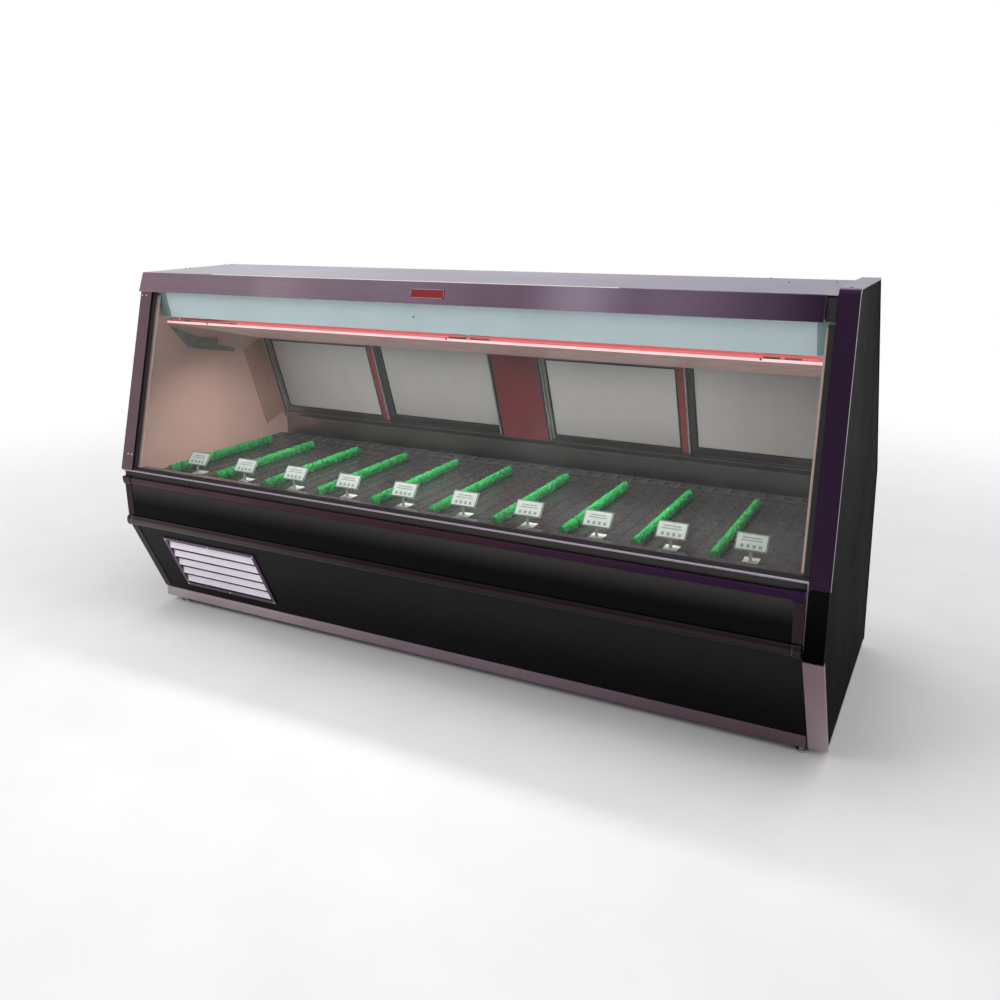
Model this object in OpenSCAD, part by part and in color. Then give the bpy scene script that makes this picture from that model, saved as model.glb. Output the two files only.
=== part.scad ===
// Refrigerated deli case, self-contained, with a slanted front glass and sliding rear doors.
// Millimetres. X runs along the case, +Y to the rear, +Z up.
// The origin is the centre of the footprint, on the floor.
// Side outlines are drawn as [v, z]: v is the distance back from the foremost line, z the height.

/* [Case] */
// Length over the end panels
case_l = 2540; // [2480:10:2600]
// Depth over the end panels
case_d = 1030; // [1030:1:1040]
// Height to the top of the right end cap
case_h = 1326; // [1324:1:1330]
// Width of the end posts
post_w = 54; // [52:1:56]

/* [Front] */
// Height of the ledge that the front glass stands on
ledge_z = 587; // [585:1:590]
// Height of the foremost line of the ends, where the lower front starts to slope back
knee_z = 378; // [374:1:380]
// Thickness of the front glass
glass_t = 6; // [5:1:8]
// Number of louvre slats
slat_count = 5; // [4:1:6]

/* [Rear doors] */
// Height of the rear knee and of the work shelf
shelf_z = 655; // [652:1:657]
// Lean of the rear doors from vertical, in degrees
door_lean = 19.5; // [18.5:0.5:20]
// Overlap of two doors in a bay
door_overlap = 16; // [12:1:24]
// Width of the centre mullion cover
mullion_w = 178; // [160:2:190]

/* [Deck] */
// Height of the display deck
deck_z = 560; // [556:1:562]
// Number of removable deck pans
pan_count = 5; // [4:1:6]
// Spacing of the green dividers
divider_pitch = 230; // [220:5:240]

/* [Feet] */
// Clear height under the base frame
foot_h = 25; // [24:1:28]
// Running clearance of shafts in their bores, on the radius
run_gap = 0.05; // [0.04:0.01:0.08]

/* [Hidden] */
$fn = 48;

steel = [0.55, 0.50, 0.54];
black = [0.10, 0.10, 0.11];
liner_tone = [0.80, 0.70, 0.67];

half_l = case_l / 2;
inner_x = half_l - post_w;           // inner edge of the front posts
wall_x = inner_x - 1;                // cavity face of the insulated ends
skin_x = half_l - 2;                 // outer face of the black end skins
panel_x = inner_x - 7;               // right end of the front panels
front_x = [-skin_x, panel_x];        // the front panels run over the left end, not the right

// Front line of the posts
foot_v = 208;                        // front of the ends at the floor
belt_v = 25;
belt_z = 570;
top_v = 205;                         // front corner of the right end cap
top_rear_v = 670;                    // rear corner of the right end cap

// Top front corner of the right end, rounded; the post line is tangent to it
corner_r = 24;
corner = [top_v + corner_r, case_h - corner_r];
corner_run = corner - [belt_v, belt_z];
post_lean = atan(corner_run[0] / corner_run[1]) - asin(corner_r / norm(corner_run));
function post_v(z) = belt_v + (z - belt_z) * tan(post_lean);
function corner_arc() =
    [for (i = [0:6]) let (a = 180 - post_lean - i * (90 - post_lean) / 6)
        corner + corner_r * [cos(a), sin(a)]];

// Top sheet of the canopy: it rises a little to the rear, below the right end cap
canopy_z = case_h - 19;
canopy_v = [top_v + 2, 676];
canopy_rise = 9;
canopy_rear_z = canopy_z + canopy_rise;
function canopy_top_z(v) = canopy_z + canopy_rise * (v - canopy_v[0]) / (canopy_v[1] - canopy_v[0]);

lower_line = [[foot_v, foot_h], [0, knee_z]];
middle_line = [[0.8, knee_z + 6], [belt_v - 0.3, belt_z - 2]];
post_line = concat([[belt_v, belt_z]], corner_arc());
rear_foot = [[case_d, shelf_z], [case_d, foot_h]];
rear_line = concat([[top_rear_v, case_h]], rear_foot);
end_line = concat(lower_line, post_line, rear_line);
// The left end passes under the canopy sheet and behind the fascia
left_drop = 2.7;
left_post_line = [[belt_v, belt_z], [post_v(canopy_z - left_drop), canopy_z - left_drop]];
left_rear_line = concat([[canopy_v[1], canopy_rear_z - left_drop]], rear_foot);
left_line = concat(lower_line, left_post_line, left_rear_line);

// Normal of a segment, to the right of its direction
function side(a, b) = let (d = b - a) [d[1], -d[0]] / norm(d);
function mitre(n1, n2) = (n1 + n2) / (1 + n1 * n2);
// A polyline moved sideways by d, mitred at its points
function shifted(p, d) =
    [for (i = [0:len(p) - 1])
        let (before = i > 0 ? side(p[i - 1], p[i]) : side(p[0], p[1]),
             after = i < len(p) - 1 ? side(p[i], p[i + 1]) : before)
        p[i] + d * mitre(before, after)];
function reversed(p) = [for (i = [len(p) - 1:-1:0]) p[i]];
// A sheet of thickness t laid along a polyline, from depth d inwards
function sheet(p, d, t) = concat(shifted(p, d), reversed(shifted(p, d + t)));

module from_front() { translate([0, -case_d / 2, 0]) children(); }
// Extrudes a [v, z] outline along X
module slab(x0, x1, outline) {
    from_front()
        translate([x0, 0, 0])
            rotate([90, 0, 90])
                linear_extrude(x1 - x0) polygon(outline);
}
module block(x, v, z) {
    from_front()
        translate([x[0], v[0], z[0]])
            cube([x[1] - x[0], v[1] - v[0], z[1] - z[0]]);
}
module both_ends() {
    children();
    mirror([1, 0, 0]) children();
}
// The room that the front panels and the ledge take up in front of the left end
module front_room() {
    gap = 2;
    back = kick_v + 14;
    sheet_back = upper_face[0][0] + 3 + gap;
    ledge_back = ledge_v[1] + gap;
    slab(-half_l - 1, -wall_x + 1,
         [[-10, foot_h - 1], [back, foot_h - 1], [back, kick_top_z],
          [lower_face[0][0] + 8, lower_face[0][1]], [sheet_back, lower_face[0][1] + 12],
          [sheet_back, ledge_z - 21], [ledge_back, ledge_z - 21],
          [ledge_back, ledge_z + 1.1], [-10, ledge_z + 1.1]]);
}

// ---- base ----
rail_w = 44;
rail_z = [foot_h, foot_h + 48];
rail_front_v = 216;
rail_rear_v = 950;
foot_x = half_l - 75;
foot_front_v = rail_front_v + 16;
foot_rear_v = rail_rear_v + rail_w / 2;
stud_r = 6;
foot_up = 8;                         // how far a foot can be screwed in
machine_x = [-1180, -560];

module rail(x, v) {
    wall = 3;
    difference() {
        block(x, v, rail_z);
        block([x[0] - 1, x[1] + 1], [v[0] + wall, v[1] - wall],
              [rail_z[0] + wall, rail_z[1] - wall]);
    }
}
module base_frame() {
    end_x = wall_x - 1;
    color("dimgray") {
        difference() {
            union() {
                rail([-end_x, end_x], [rail_front_v, rail_front_v + rail_w]);
                rail([-end_x, end_x], [rail_rear_v, rail_rear_v + rail_w]);
                for (x = [-foot_x, foot_x], v = [rail_front_v + 2, rail_rear_v + 2])
                    block([x - 18, x + 18], [v, v + rail_w - 4], [rail_z[0] + 1, rail_z[1] - 1]);
            }
            for (x = [-foot_x, foot_x], v = [foot_front_v, foot_rear_v])
                from_front() translate([x, v, rail_z[0] - 1])
                    cylinder(h = 60, r = stud_r + run_gap);
        }
        for (x = [-1130, -590, 0, 590, 1090])
            block([x, x + 40], [rail_front_v + rail_w, rail_rear_v], rail_z);
        // Legs that carry the tank
        for (x = [-end_x, end_x - 40], v = [rail_front_v + 4, rail_rear_v])
            block([x, x + 40], [v, v + 40], [rail_z[1], 380]);
        // Tray under the condensing unit
        block(machine_x, [300, 900], [rail_z[1], rail_z[1] + 3]);
    }
}
kick_v = 202;
kick_top_z = 62;
module kick_plate() {
    color(steel)
        slab(front_x[0], front_x[1], [[kick_v, foot_h], [kick_v, kick_top_z], [kick_v + 12, kick_top_z],
             [kick_v + 12, kick_top_z - 2], [kick_v + 2, kick_top_z - 2], [kick_v + 2, foot_h]]);
}
module foot(x, v) {
    color("gray") from_front() translate([x, v, 0]) {
        cylinder(h = 7, r = 18);
        cylinder(h = 12, r = 10, $fn = 6);
        cylinder(h = rail_z[1] - foot_up - 2, r = stud_r);
    }
}
module foot_front_left() { foot(-foot_x, foot_front_v); }
module foot_front_right() { foot(foot_x, foot_front_v); }
module foot_rear_left() { foot(-foot_x, foot_rear_v); }
module foot_rear_right() { foot(foot_x, foot_rear_v); }

// ---- insulated tank ----
tank_x = wall_x;
tank_floor_z = 380;
tank_front_v = 54;
tank_rear_v = 966;
tank_rear_z = shelf_z - 27;
liner_floor_z = 440;
liner_front_v = 88;
liner_rear_v = 912;
tank_rim_z = ledge_z - 7;
skin = 2;
drain = [0, 560];
drain_r = 16;

function tank_outer(d) =
    [[tank_front_v + d, tank_rim_z], [tank_front_v + d, tank_floor_z + d],
     [tank_rear_v - d, tank_floor_z + d], [tank_rear_v - d, tank_rear_z]];
function tank_inner(d) =
    [[liner_front_v - d, tank_rim_z], [liner_front_v - d, liner_floor_z - d],
     [drain[1], liner_floor_z - 14 - d],
     [liner_rear_v + d, liner_floor_z - d], [liner_rear_v + d, tank_rear_z]];
module drain_hole(r) {
    from_front() translate([drain[0], drain[1], tank_floor_z - 40]) cylinder(h = 90, r = r);
}
module tank_shell() {
    color("silver") difference() {
        slab(-tank_x, tank_x, concat(tank_outer(0), reversed(tank_outer(skin))));
        drain_hole(drain_r);
    }
}
module tank_foam() {
    color("khaki") difference() {
        slab(-tank_x, tank_x, concat(tank_outer(skin), reversed(tank_inner(skin))));
        drain_hole(drain_r);
    }
}
module tank_liner() {
    color("gainsboro") {
        difference() {
            slab(-tank_x, tank_x, concat(tank_inner(skin), reversed(tank_inner(0))));
            drain_hole(drain_r);
        }
        // Brackets that carry the deck pans
        for (i = [0:pan_count]) {
            x = max(-tank_x, min(tank_x - 24, -deck_x + i * pan_l - 12));
            block([x, x + 24], [liner_front_v, deck_v[0] + 20], [deck_z - 30, deck_z - 24]);
            block([x, x + 24], [deck_v[1] - 20, liner_rear_v], [deck_z - 30, deck_z - 24]);
        }
        // Drain outlet through the foam
        difference() {
            from_front() translate([drain[0], drain[1], tank_floor_z - 24])
                cylinder(h = liner_floor_z - 16 - tank_floor_z + 24, r = drain_r);
            drain_hole(drain_r - 2);
        }
    }
}

// ---- insulated ends and their trims ----
trim_t = 6;
trim_lap = 1;                        // the sides of a trim start inside it, so that they fuse
skin_t = 4;
flange = 14;
post_return = 12;                    // depth of the post's inner side, behind the trim
glass_set = 10;                      // the glass stands behind the post line
lip_head_z = 1222;                   // top of the lip that the glass edge rests against
module end_liners() {
    inset = trim_t + post_return + 1;
    color(liner_tone) {
        slab(wall_x, skin_x - skin_t, shifted(end_line, inset));
        difference() {
            slab(skin_t - skin_x, -wall_x, shifted(left_line, inset));
            front_room();
        }
        // Lip that the glass edge rests against
        both_ends() slanted(wall_x - 24, wall_x, [ledge_z + 14, lip_head_z],
                            glass_set + glass_t + 3, glass_set + glass_t + 8);
    }
}
module end_panels() {
    color(black) {
        slab(skin_x - skin_t, skin_x, shifted(end_line, trim_t + 0.1));
        difference() {
            slab(-skin_x, skin_t - skin_x, shifted(left_line, trim_t + 0.1));
            front_room();
        }
        // Wrap over the middle length of the right front edge
        slab(inner_x, skin_x, sheet(middle_line, 1, 6));
    }
}
// Trim that runs up the post, back over the top and down the rear edge
module post_trim(front, rear) {
    slab(inner_x, half_l, sheet(concat(front, rear), 0, trim_t));
    slab(skin_x, half_l, sheet(front, trim_t - trim_lap, flange - trim_t + trim_lap));
    slab(inner_x, inner_x + 2, sheet([front[0], front[1]], trim_t - trim_lap, post_return + trim_lap));
}
module post_trims() {
    color(steel) {
        post_trim(post_line, rear_line);
        difference() {
            mirror([1, 0, 0]) post_trim(left_post_line, left_rear_line);
            front_room();
        }
    }
}
module post_channel() {
    color(steel) {
        slab(inner_x, half_l, sheet(lower_line, 0, trim_t));
        slab(skin_x, half_l, sheet(lower_line, trim_t - trim_lap, flange - trim_t + trim_lap));
        slab(inner_x, inner_x + 3, sheet(lower_line, trim_t - trim_lap, post_return + trim_lap));
    }
}

// ---- canopy ----
apron_head_z = 1250;
fascia_foot_z = 1238;
apron = [[222, apron_head_z], [207, 1240], [232, 1141]];
soffit = [[252, 1129], [254, 1114], [752, 1001], [757, 1012]];
lamp_v = 270;
lamp_z = 1134;
lamp_r = 12.5;

module canopy_frame() {
    color("dimgray") {
        block([-wall_x, wall_x], [222, 252], [apron_head_z, canopy_z - 3]);
        for (x = [-1000, 0, 1000]) block([x - 15, x + 15], [248, 251], [holder_top + 30, apron_head_z]);
        block([-wall_x, wall_x], [640, 670], [apron_head_z, canopy_z - 3]);
        block([-wall_x, wall_x], [738, 762], [1036, 1076]);
        for (x = [-900, -300, 300, 900]) {
            block([x - 12, x + 12], [252, 640], [canopy_z - 28, canopy_z - 3]);
            slab(x - 12, x + 12,
                 [[652, apron_head_z], [668, apron_head_z], [760, 1076], [742, 1076]]);
        }
    }
}
module canopy_top() {
    top_sheet = [[canopy_v[0], canopy_z], [canopy_v[1], canopy_rear_z]];
    color([0.74, 0.71, 0.75]) {
        slab(-skin_x, wall_x, sheet(top_sheet, 0, skin));
        slab(-wall_x, wall_x, sheet(concat(top_sheet, [[806, 1050]]), 0, skin));
    }
}
module front_fascia() {
    face = [[187.5, fascia_foot_z], [175, fascia_foot_z - 1],
            [top_v - 4.5, canopy_z - 1], [canopy_v[0] - 1, canopy_z]];
    color(steel)
        slab(-skin_x, wall_x - 27, sheet(face, 0, skin));
}
module canopy_apron() {
    color([0.70, 0.76, 0.78])
        slab(-wall_x, wall_x, reversed(sheet(apron, -skin, skin)));
}
module canopy_soffit() {
    color([0.86, 0.82, 0.79])
        slab(-wall_x, wall_x, reversed(sheet(soffit, -skin, skin)));
}

// ---- light ----
lamps = [[-1170, 98], [102, 1190]];
// Saddle clips along the lamps, as [start, length]
clips = [[-1206, 34], [-1116, 23], [-892, 26], [28, 64], [105, 72], [1025, 46], [1082, 46]];
holder_top = lamp_z + 18;
module along_lamp(x, l, r) {
    from_front() translate([x, lamp_v, lamp_z]) rotate([0, 90, 0]) cylinder(h = l, r = r);
}
module lamp_housing() {
    color("white") block([-wall_x, wall_x], [240, 300], [holder_top, holder_top + 30]);
}
module lamp_tubes() {
    color([1, 0.5, 0.5]) for (l = lamps) along_lamp(l[0], l[1] - l[0], lamp_r);
}
module lamp_supports() {
    bracket = [[262, 1100], [350, 1010], [411, 997], [592, 962], [592, 977], [500, 1001],
               [500, 1027], [385, 1046]];
    color([0.22, 0.25, 0.24]) {
        for (c = clips) difference() {
            block([c[0], c[0] + c[1]], [lamp_v - 15, lamp_v + 15], [lamp_z + 2, holder_top]);
            along_lamp(c[0] - 1, c[1] + 2, lamp_r + 0.2);
        }
        both_ends() slab(wall_x - 9, wall_x, bracket);
    }
}

// ---- front glass and ledge ----
ledge_v = [30, 96];
glass_foot_z = ledge_z + 2;
glass_head_z = apron_head_z;
border_head_z = 1230;                // top of the black border on the glass
function glass_v(z) = post_v(z) + glass_set;
// A strip along the slanted front between two heights, from v0 to v1 behind the post line
module slanted(x0, x1, z, v0, v1) {
    slab(x0, x1, [[post_v(z[0]) + v0, z[0]], [post_v(z[1]) + v0, z[1]],
                  [post_v(z[1]) + v1, z[1]], [post_v(z[0]) + v1, z[0]]]);
}
module front_glass() {
    color([0.8, 0.9, 0.9, 0.3])
        slab(-wall_x + 1, wall_x - 1,
             [[glass_v(glass_foot_z), glass_foot_z], [glass_v(glass_head_z), glass_head_z],
              [glass_v(glass_head_z) + glass_t, glass_head_z],
              [glass_v(glass_foot_z) + glass_t, glass_foot_z]]);
}
module glass_channel() {
    front = glass_v(glass_foot_z) - 4;
    rear = front + glass_t + 9;
    color(black) {
        slab(-wall_x, wall_x, [[front - 3, ledge_z + 1], [front, ledge_z + 9], [front + 4, ledge_z + 9],
             [front + 4, ledge_z + 2], [rear - 5, ledge_z + 2], [rear - 3, ledge_z + 9],
             [rear, ledge_z + 9], [rear, ledge_z + 1]]);
        // Black border on the glass, beside the posts
        both_ends() slanted(wall_x - 16, wall_x, [ledge_z + 12, border_head_z],
                            glass_set - 3.1, glass_set - 0.1);
        // Filler between the fascia and the right post
        slanted(wall_x - 26, wall_x, [fascia_foot_z, canopy_z - 8], 2, glass_set - 2);
    }
}
module ledge_trim() {
    color(steel)
        slab(front_x[0], wall_x,
             [[ledge_v[0], ledge_z - 5], [ledge_v[0], ledge_z - 1], [ledge_v[0] + 2, ledge_z + 1],
              [ledge_v[1], ledge_z + 1], [ledge_v[1], ledge_z - 20], [ledge_v[1] - 2, ledge_z - 20],
              [ledge_v[1] - 2, ledge_z - 1], [ledge_v[0] + 4, ledge_z - 1], [ledge_v[0] + 4, ledge_z - 5]]);
}

// ---- front panels ----
upper_face = [[44, ledge_z - 5], [44, 548], [41, 529], [46, 404], [46, 366]];
lower_face = [[53, 368], [kick_v - 2, kick_top_z + 2]];
module upper_front_panel() {
    color(black) slab(front_x[0], front_x[1], reversed(sheet(upper_face, -3, 3)));
}
module belt_rail() {
    rail = [[43.5, 556], [33, 556], [31, 553], [33, 540], [36, 531], [39, 529], [40.9, 529]];
    cap = [[43.5, 559], [32, 559], [28, 554], [31, 538], [35, 528], [38, 526], [40.5, 526]];
    cap_l = 35;
    color(steel) {
        slab(front_x[0] + cap_l, front_x[1] - cap_l, rail);
        slab(front_x[0], front_x[0] + cap_l, cap);
        slab(front_x[1] - cap_l, front_x[1], cap);
    }
}
module mid_bumper() {
    // Half-round rail with a short cap at each end
    centre = [45.5, 386];
    function half_round(r, h) =
        [for (i = [0:10]) let (a = 90 + i * 18) [centre[0] - 0.4 + r * cos(a), centre[1] + h * sin(a)]];
    cap_l = 22;
    ends = [front_x[0] + 1, front_x[1] - 4];
    color(steel) {
        slab(ends[0] + cap_l, ends[1] - cap_l, half_round(11, 18));
        slab(ends[0], ends[0] + cap_l, half_round(13, 20));
        slab(ends[1] - cap_l, ends[1], half_round(13, 20));
    }
}
// Upright strips over the ends of the panels
module edge_strips() {
    strip_w = 30;
    upper = [[41.2, 525], [46, 407]];
    lower = [[55.4, 363], [198, 68.2]];
    color(black) {
        for (x = [front_x[0], front_x[1] - strip_w])
            slab(x, x + strip_w, sheet(upper, 0.2, 1.8));
        slab(front_x[0], front_x[0] + strip_w + 2, sheet(lower, 0.2, 1.8));
    }
}
face_run = lower_face[1] - lower_face[0];
face_turn = atan(face_run[0] / -face_run[1]);
// Local frame on the lower front panel: X along the case, Z up the panel, Y inwards
module on_lower_face() {
    from_front()
        translate([0, lower_face[1][0], lower_face[1][1]])
            rotate([face_turn, 0, 0]) children();
}
grille_x = [-1125, -685];
grille_w = grille_x[1] - grille_x[0];
grille_z = [44, 296];                // measured up the panel
grille_h = grille_z[1] - grille_z[0];
module lower_front_panel() {
    color(black) difference() {
        slab(front_x[0], front_x[1], reversed(sheet(lower_face, -3, 3)));
        on_lower_face() translate([grille_x[0] + 8, -20, grille_z[0] + 8])
            cube([grille_w - 16, 40, grille_h - 16]);
    }
}
module grille_frame() {
    bar = 14;
    color([0.30, 0.20, 0.30]) on_lower_face() difference() {
        translate([grille_x[0], -5, grille_z[0]]) cube([grille_w, 5, grille_h]);
        translate([grille_x[0] + bar, -10, grille_z[0] + bar])
            cube([grille_w - 2 * bar, 20, grille_h - 2 * bar]);
    }
}
module grille_slats() {
    inset = 14.5;
    pitch = (grille_h - 2 * inset) / slat_count;
    chord = 0.58 * pitch;
    color([0.90, 0.88, 0.91])
        for (i = [0:slat_count - 1]) on_lower_face()
            translate([grille_x[0] + inset, 0, grille_z[0] + inset + (i + 0.5) * pitch])
                rotate([-22, 0, 0]) translate([0, -1, -chord / 2])
                    cube([grille_w - 2 * inset, 2, chord]);
}

// ---- deck and its fittings ----
deck_v = [124, 806];
deck_x = wall_x - 4;
pan_l = (2 * deck_x) / pan_count;
module deck_pan(x0) {
    rim = 12;
    gap = 1;
    difference() {
        block([x0 + gap, x0 + pan_l - gap], deck_v, [deck_z - 24, deck_z]);
        block([x0 + gap + 2, x0 + pan_l - gap - 2], [deck_v[0] + 2, deck_v[1] - 2],
              [deck_z - 30, deck_z - 2]);
    }
    for (v = [deck_v[0], deck_v[1] - rim])
        block([x0 + gap, x0 + pan_l - gap], [v, v + rim], [deck_z, deck_z + 3]);
}
module deck_pans() {
    color([0.16, 0.16, 0.17])
        for (i = [0:pan_count - 1]) deck_pan(-deck_x + i * pan_l);
}
module slotted_strip(v, z) {
    step = 60;
    count = floor(2 * deck_x / step) - 1;
    start = -count * step / 2;
    difference() {
        block([-deck_x, deck_x], v, z);
        for (i = [0:count - 1])
            block([start + i * step + 6, start + (i + 1) * step - 6], [v[0] + 4, v[1] - 4],
                  [z[0] - 1, z[1] + 1]);
    }
    for (y = [v[0], v[1] - 2]) block([-deck_x, deck_x], [y, y + 2], [deck_z - 24, z[0]]);
}
module air_grilles() {
    color([0.28, 0.29, 0.31]) {
        slotted_strip([97, deck_v[0] - 2], [deck_z, deck_z + 3]);
        slotted_strip([deck_v[1] + 2, 866], [deck_z, deck_z + 3]);
    }
}
divider_h = 38;
divider_v = [136, 700];
divider_offset = 18;
function divider_xs() =
    [for (i = [-5:4]) i * divider_pitch + divider_offset];
module divider(x) {
    t = 22;
    from_front() translate([x, divider_v[0], deck_z]) {
        translate([-13, 0, 0]) cube([26, divider_v[1] - divider_v[0], 3]);
        translate([-t / 2, 0, 0]) cube([t, divider_v[1] - divider_v[0], divider_h - t / 2]);
        translate([0, 0, divider_h - t / 2]) rotate([-90, 0, 0])
            cylinder(h = divider_v[1] - divider_v[0], r = t / 2);
    }
}
module dividers() {
    color([0.05, 0.55, 0.25]) for (x = divider_xs()) divider(x);
}
ticket_w = 92;
ticket_h = 54;
ticket_lean = 38;
ticket_v = 176;
module ticket_holder(x) {
    from_front() translate([x, ticket_v, deck_z]) {
        translate([-22, -6, 0]) cube([44, 44, 2]);
        translate([-5, 4, 0]) cube([10, 3, 42]);
        translate([0, 2, 38]) rotate([-ticket_lean, 0, 0])
            translate([-ticket_w / 2, 0, -6]) cube([ticket_w, 3, ticket_h]);
    }
}
module ticket_holders() {
    color([0.85, 0.88, 0.87])
        for (x = divider_xs()) ticket_holder(x + divider_pitch / 2 - 20);
}

// ---- rear doors ----
sill_v = 888;
door_clear_h = 380;                  // opening height, up the lean
bay_w = inner_x - 10 - mullion_w / 2;
door_w = (bay_w + door_overlap) / 2;
door_t = 12;
inner_y = 6;
outer_y = 24;
door_foot = -8;
door_head = door_clear_h + 10;
door_h = door_head - door_foot;
stile_w = 34;
glass_rebate = 8;
track_y = [0, 42];
cover_h = door_clear_h - 16;

// Local frame of the rear doors: X along the case, Y out to the rear, Z up the lean
module on_rear_plane() {
    from_front()
        translate([0, sill_v, shelf_z]) rotate([door_lean, 0, 0]) children();
}
function door_x(n) =
    n == 1 ? -inner_x + 10 : n == 2 ? -mullion_w / 2 - door_w :
    n == 3 ? mullion_w / 2 : inner_x - 10 - door_w;
function door_y(n) = (n == 1 || n == 3) ? inner_y : outer_y;
module door_frame(n) {
    pull_side = (n == 1 || n == 3) ? 9 : door_w - 25;
    color([0.62, 0.58, 0.60]) on_rear_plane()
        translate([door_x(n), door_y(n), door_foot]) difference() {
            cube([door_w, door_t, door_h]);
            translate([stile_w, -1, stile_w])
                cube([door_w - 2 * stile_w, door_t + 2, door_h - 2 * stile_w]);
            translate([stile_w - glass_rebate, 3.5, stile_w - glass_rebate])
                cube([door_w - 2 * (stile_w - glass_rebate), 5, door_h - 2 * (stile_w - glass_rebate)]);
            // Finger pull in the outer face
            translate([pull_side, door_t - 4, door_h / 2 - 60]) cube([16, 5, 120]);
        }
}
module door_glass(n) {
    edge = stile_w - glass_rebate;
    color([0.75, 0.85, 0.85, 0.35]) on_rear_plane()
        translate([door_x(n) + edge, door_y(n) + 3.5, door_foot + edge])
            cube([door_w - 2 * edge, 5, door_h - 2 * edge]);
}
module door_1_frame() { door_frame(1); }
module door_2_frame() { door_frame(2); }
module door_3_frame() { door_frame(3); }
module door_4_frame() { door_frame(4); }
module door_1_glass() { door_glass(1); }
module door_2_glass() { door_glass(2); }
module door_3_glass() { door_glass(3); }
module door_4_glass() { door_glass(4); }

// Two-groove track; up is +1 for the sill and -1 for the header
module track(z, up) {
    depth = 14;
    base = 6;
    translate([-inner_x + 1, track_y[0], z]) difference() {
        translate([0, 0, up > 0 ? -depth - base : 0])
            cube([2 * inner_x - 2, track_y[1], depth + base]);
        for (y = [inner_y - 2, outer_y - 2])
            translate([-1, y, up > 0 ? -depth : -1]) cube([2 * inner_x, door_t + 4, depth + 1]);
    }
}
module door_tracks() {
    color("silver") on_rear_plane() {
        track(0, 1);
        track(door_clear_h, -1);
    }
    // Packing between the lower track and the tank rim
    color("silver") slab(-inner_x + 1, inner_x - 1, [[899, tank_rear_z], [936, tank_rear_z],
                         [936, shelf_z - 6], [899, shelf_z - 18]]);
}
module rear_jambs() {
    cheek_w = 116;
    lap = 8;
    color([0.52, 0.48, 0.47]) both_ends() on_rear_plane() {
        translate([wall_x - 3, -cheek_w, 2]) cube([3, cheek_w, cover_h]);
        translate([inner_x - 10 - lap, -3, 2]) cube([wall_x - inner_x + 10 + lap, 3, cover_h]);
        translate([inner_x - 9, 0, 0.5]) cube([wall_x - inner_x + 9, track_y[1], door_clear_h - 1]);
    }
}
module centre_mullion() {
    core_w = mullion_w - 2;
    lap = 8;
    color([0.52, 0.40, 0.40]) on_rear_plane() {
        translate([-mullion_w / 2 - lap, -3, 2]) cube([mullion_w + 2 * lap, 3, cover_h]);
        translate([-core_w / 2, 0, 0.5]) cube([core_w, track_y[1], door_clear_h - 1]);
    }
}
module rear_shelf() {
    top = [[944, shelf_z - 1], [case_d - 2, shelf_z - 1], [case_d - 2, shelf_z - 31]];
    color(steel) slab(-panel_x, panel_x, sheet(top, 0, skin));
}
panel_v = 1006;
control_x = [860, 1060];
control_z = [500, 590];
louvre_rows = 6;
module rear_panel() {
    color([0.45, 0.43, 0.45]) difference() {
        block([-wall_x, wall_x], [panel_v, panel_v + 2], [foot_h + 20, shelf_z - 34]);
        block([control_x[0], control_x[1]], [panel_v - 1, panel_v + 3], control_z);
        for (i = [0:louvre_rows - 1], x = [-1100, -840])
            block([x, x + 200], [panel_v - 1, panel_v + 3], [130 + i * 34, 142 + i * 34]);
    }
}

// ---- refrigeration ----
coil_x = [-980, 980];
coil_v = [500, 640];
coil_z = [452, 532];
module evaporator() {
    tube_r = 6;
    rows = [470, 514];
    ranks = [530, 570, 610];
    color([0.72, 0.74, 0.76]) {
        block(coil_x, coil_v, coil_z);
        both_ends() block([coil_x[1], coil_x[1] + 4], [coil_v[0] - 6, coil_v[1] + 6],
                          [liner_floor_z, coil_z[1] + 8]);
        for (v = ranks, s = [-1, 1]) from_front()
            translate([s * (coil_x[1] + 4), v, (rows[0] + rows[1]) / 2])
                rotate([90, 0, s > 0 ? 0 : 180]) rotate([0, 0, -90])
                    rotate_extrude(angle = 180) translate([(rows[1] - rows[0]) / 2, 0])
                        circle(r = tube_r);
    }
}
fan_x = 520;
plenum_v = 430;
fan_z = 494;
fan_r = 46;
shaft_r = 4;
module fan_plenum() {
    color("silver") {
        difference() {
            block([-1190, 1190], [plenum_v, plenum_v + 3], [liner_floor_z - 9, deck_z - 31]);
            for (s = [-1, 1]) from_front() translate([s * fan_x, plenum_v - 5, fan_z])
                rotate([-90, 0, 0]) cylinder(h = 20, r = fan_r + 3);
        }
    }
    color("dimgray") for (s = [-1, 1]) {
        from_front() translate([s * fan_x, plenum_v + 14, fan_z]) rotate([-90, 0, 0])
            cylinder(h = 34, r = 26);
        from_front() translate([s * fan_x, plenum_v - 10, fan_z]) rotate([-90, 0, 0])
            cylinder(h = 26, r = shaft_r);
        block([s * fan_x - 62, s * fan_x + 62], [plenum_v + 30, plenum_v + 36], [fan_z - 5, fan_z + 5]);
        for (e = [-62, 56])
            block([s * fan_x + e, s * fan_x + e + 6], [plenum_v + 3, plenum_v + 30],
                  [fan_z - 5, fan_z + 5]);
    }
}
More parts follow.
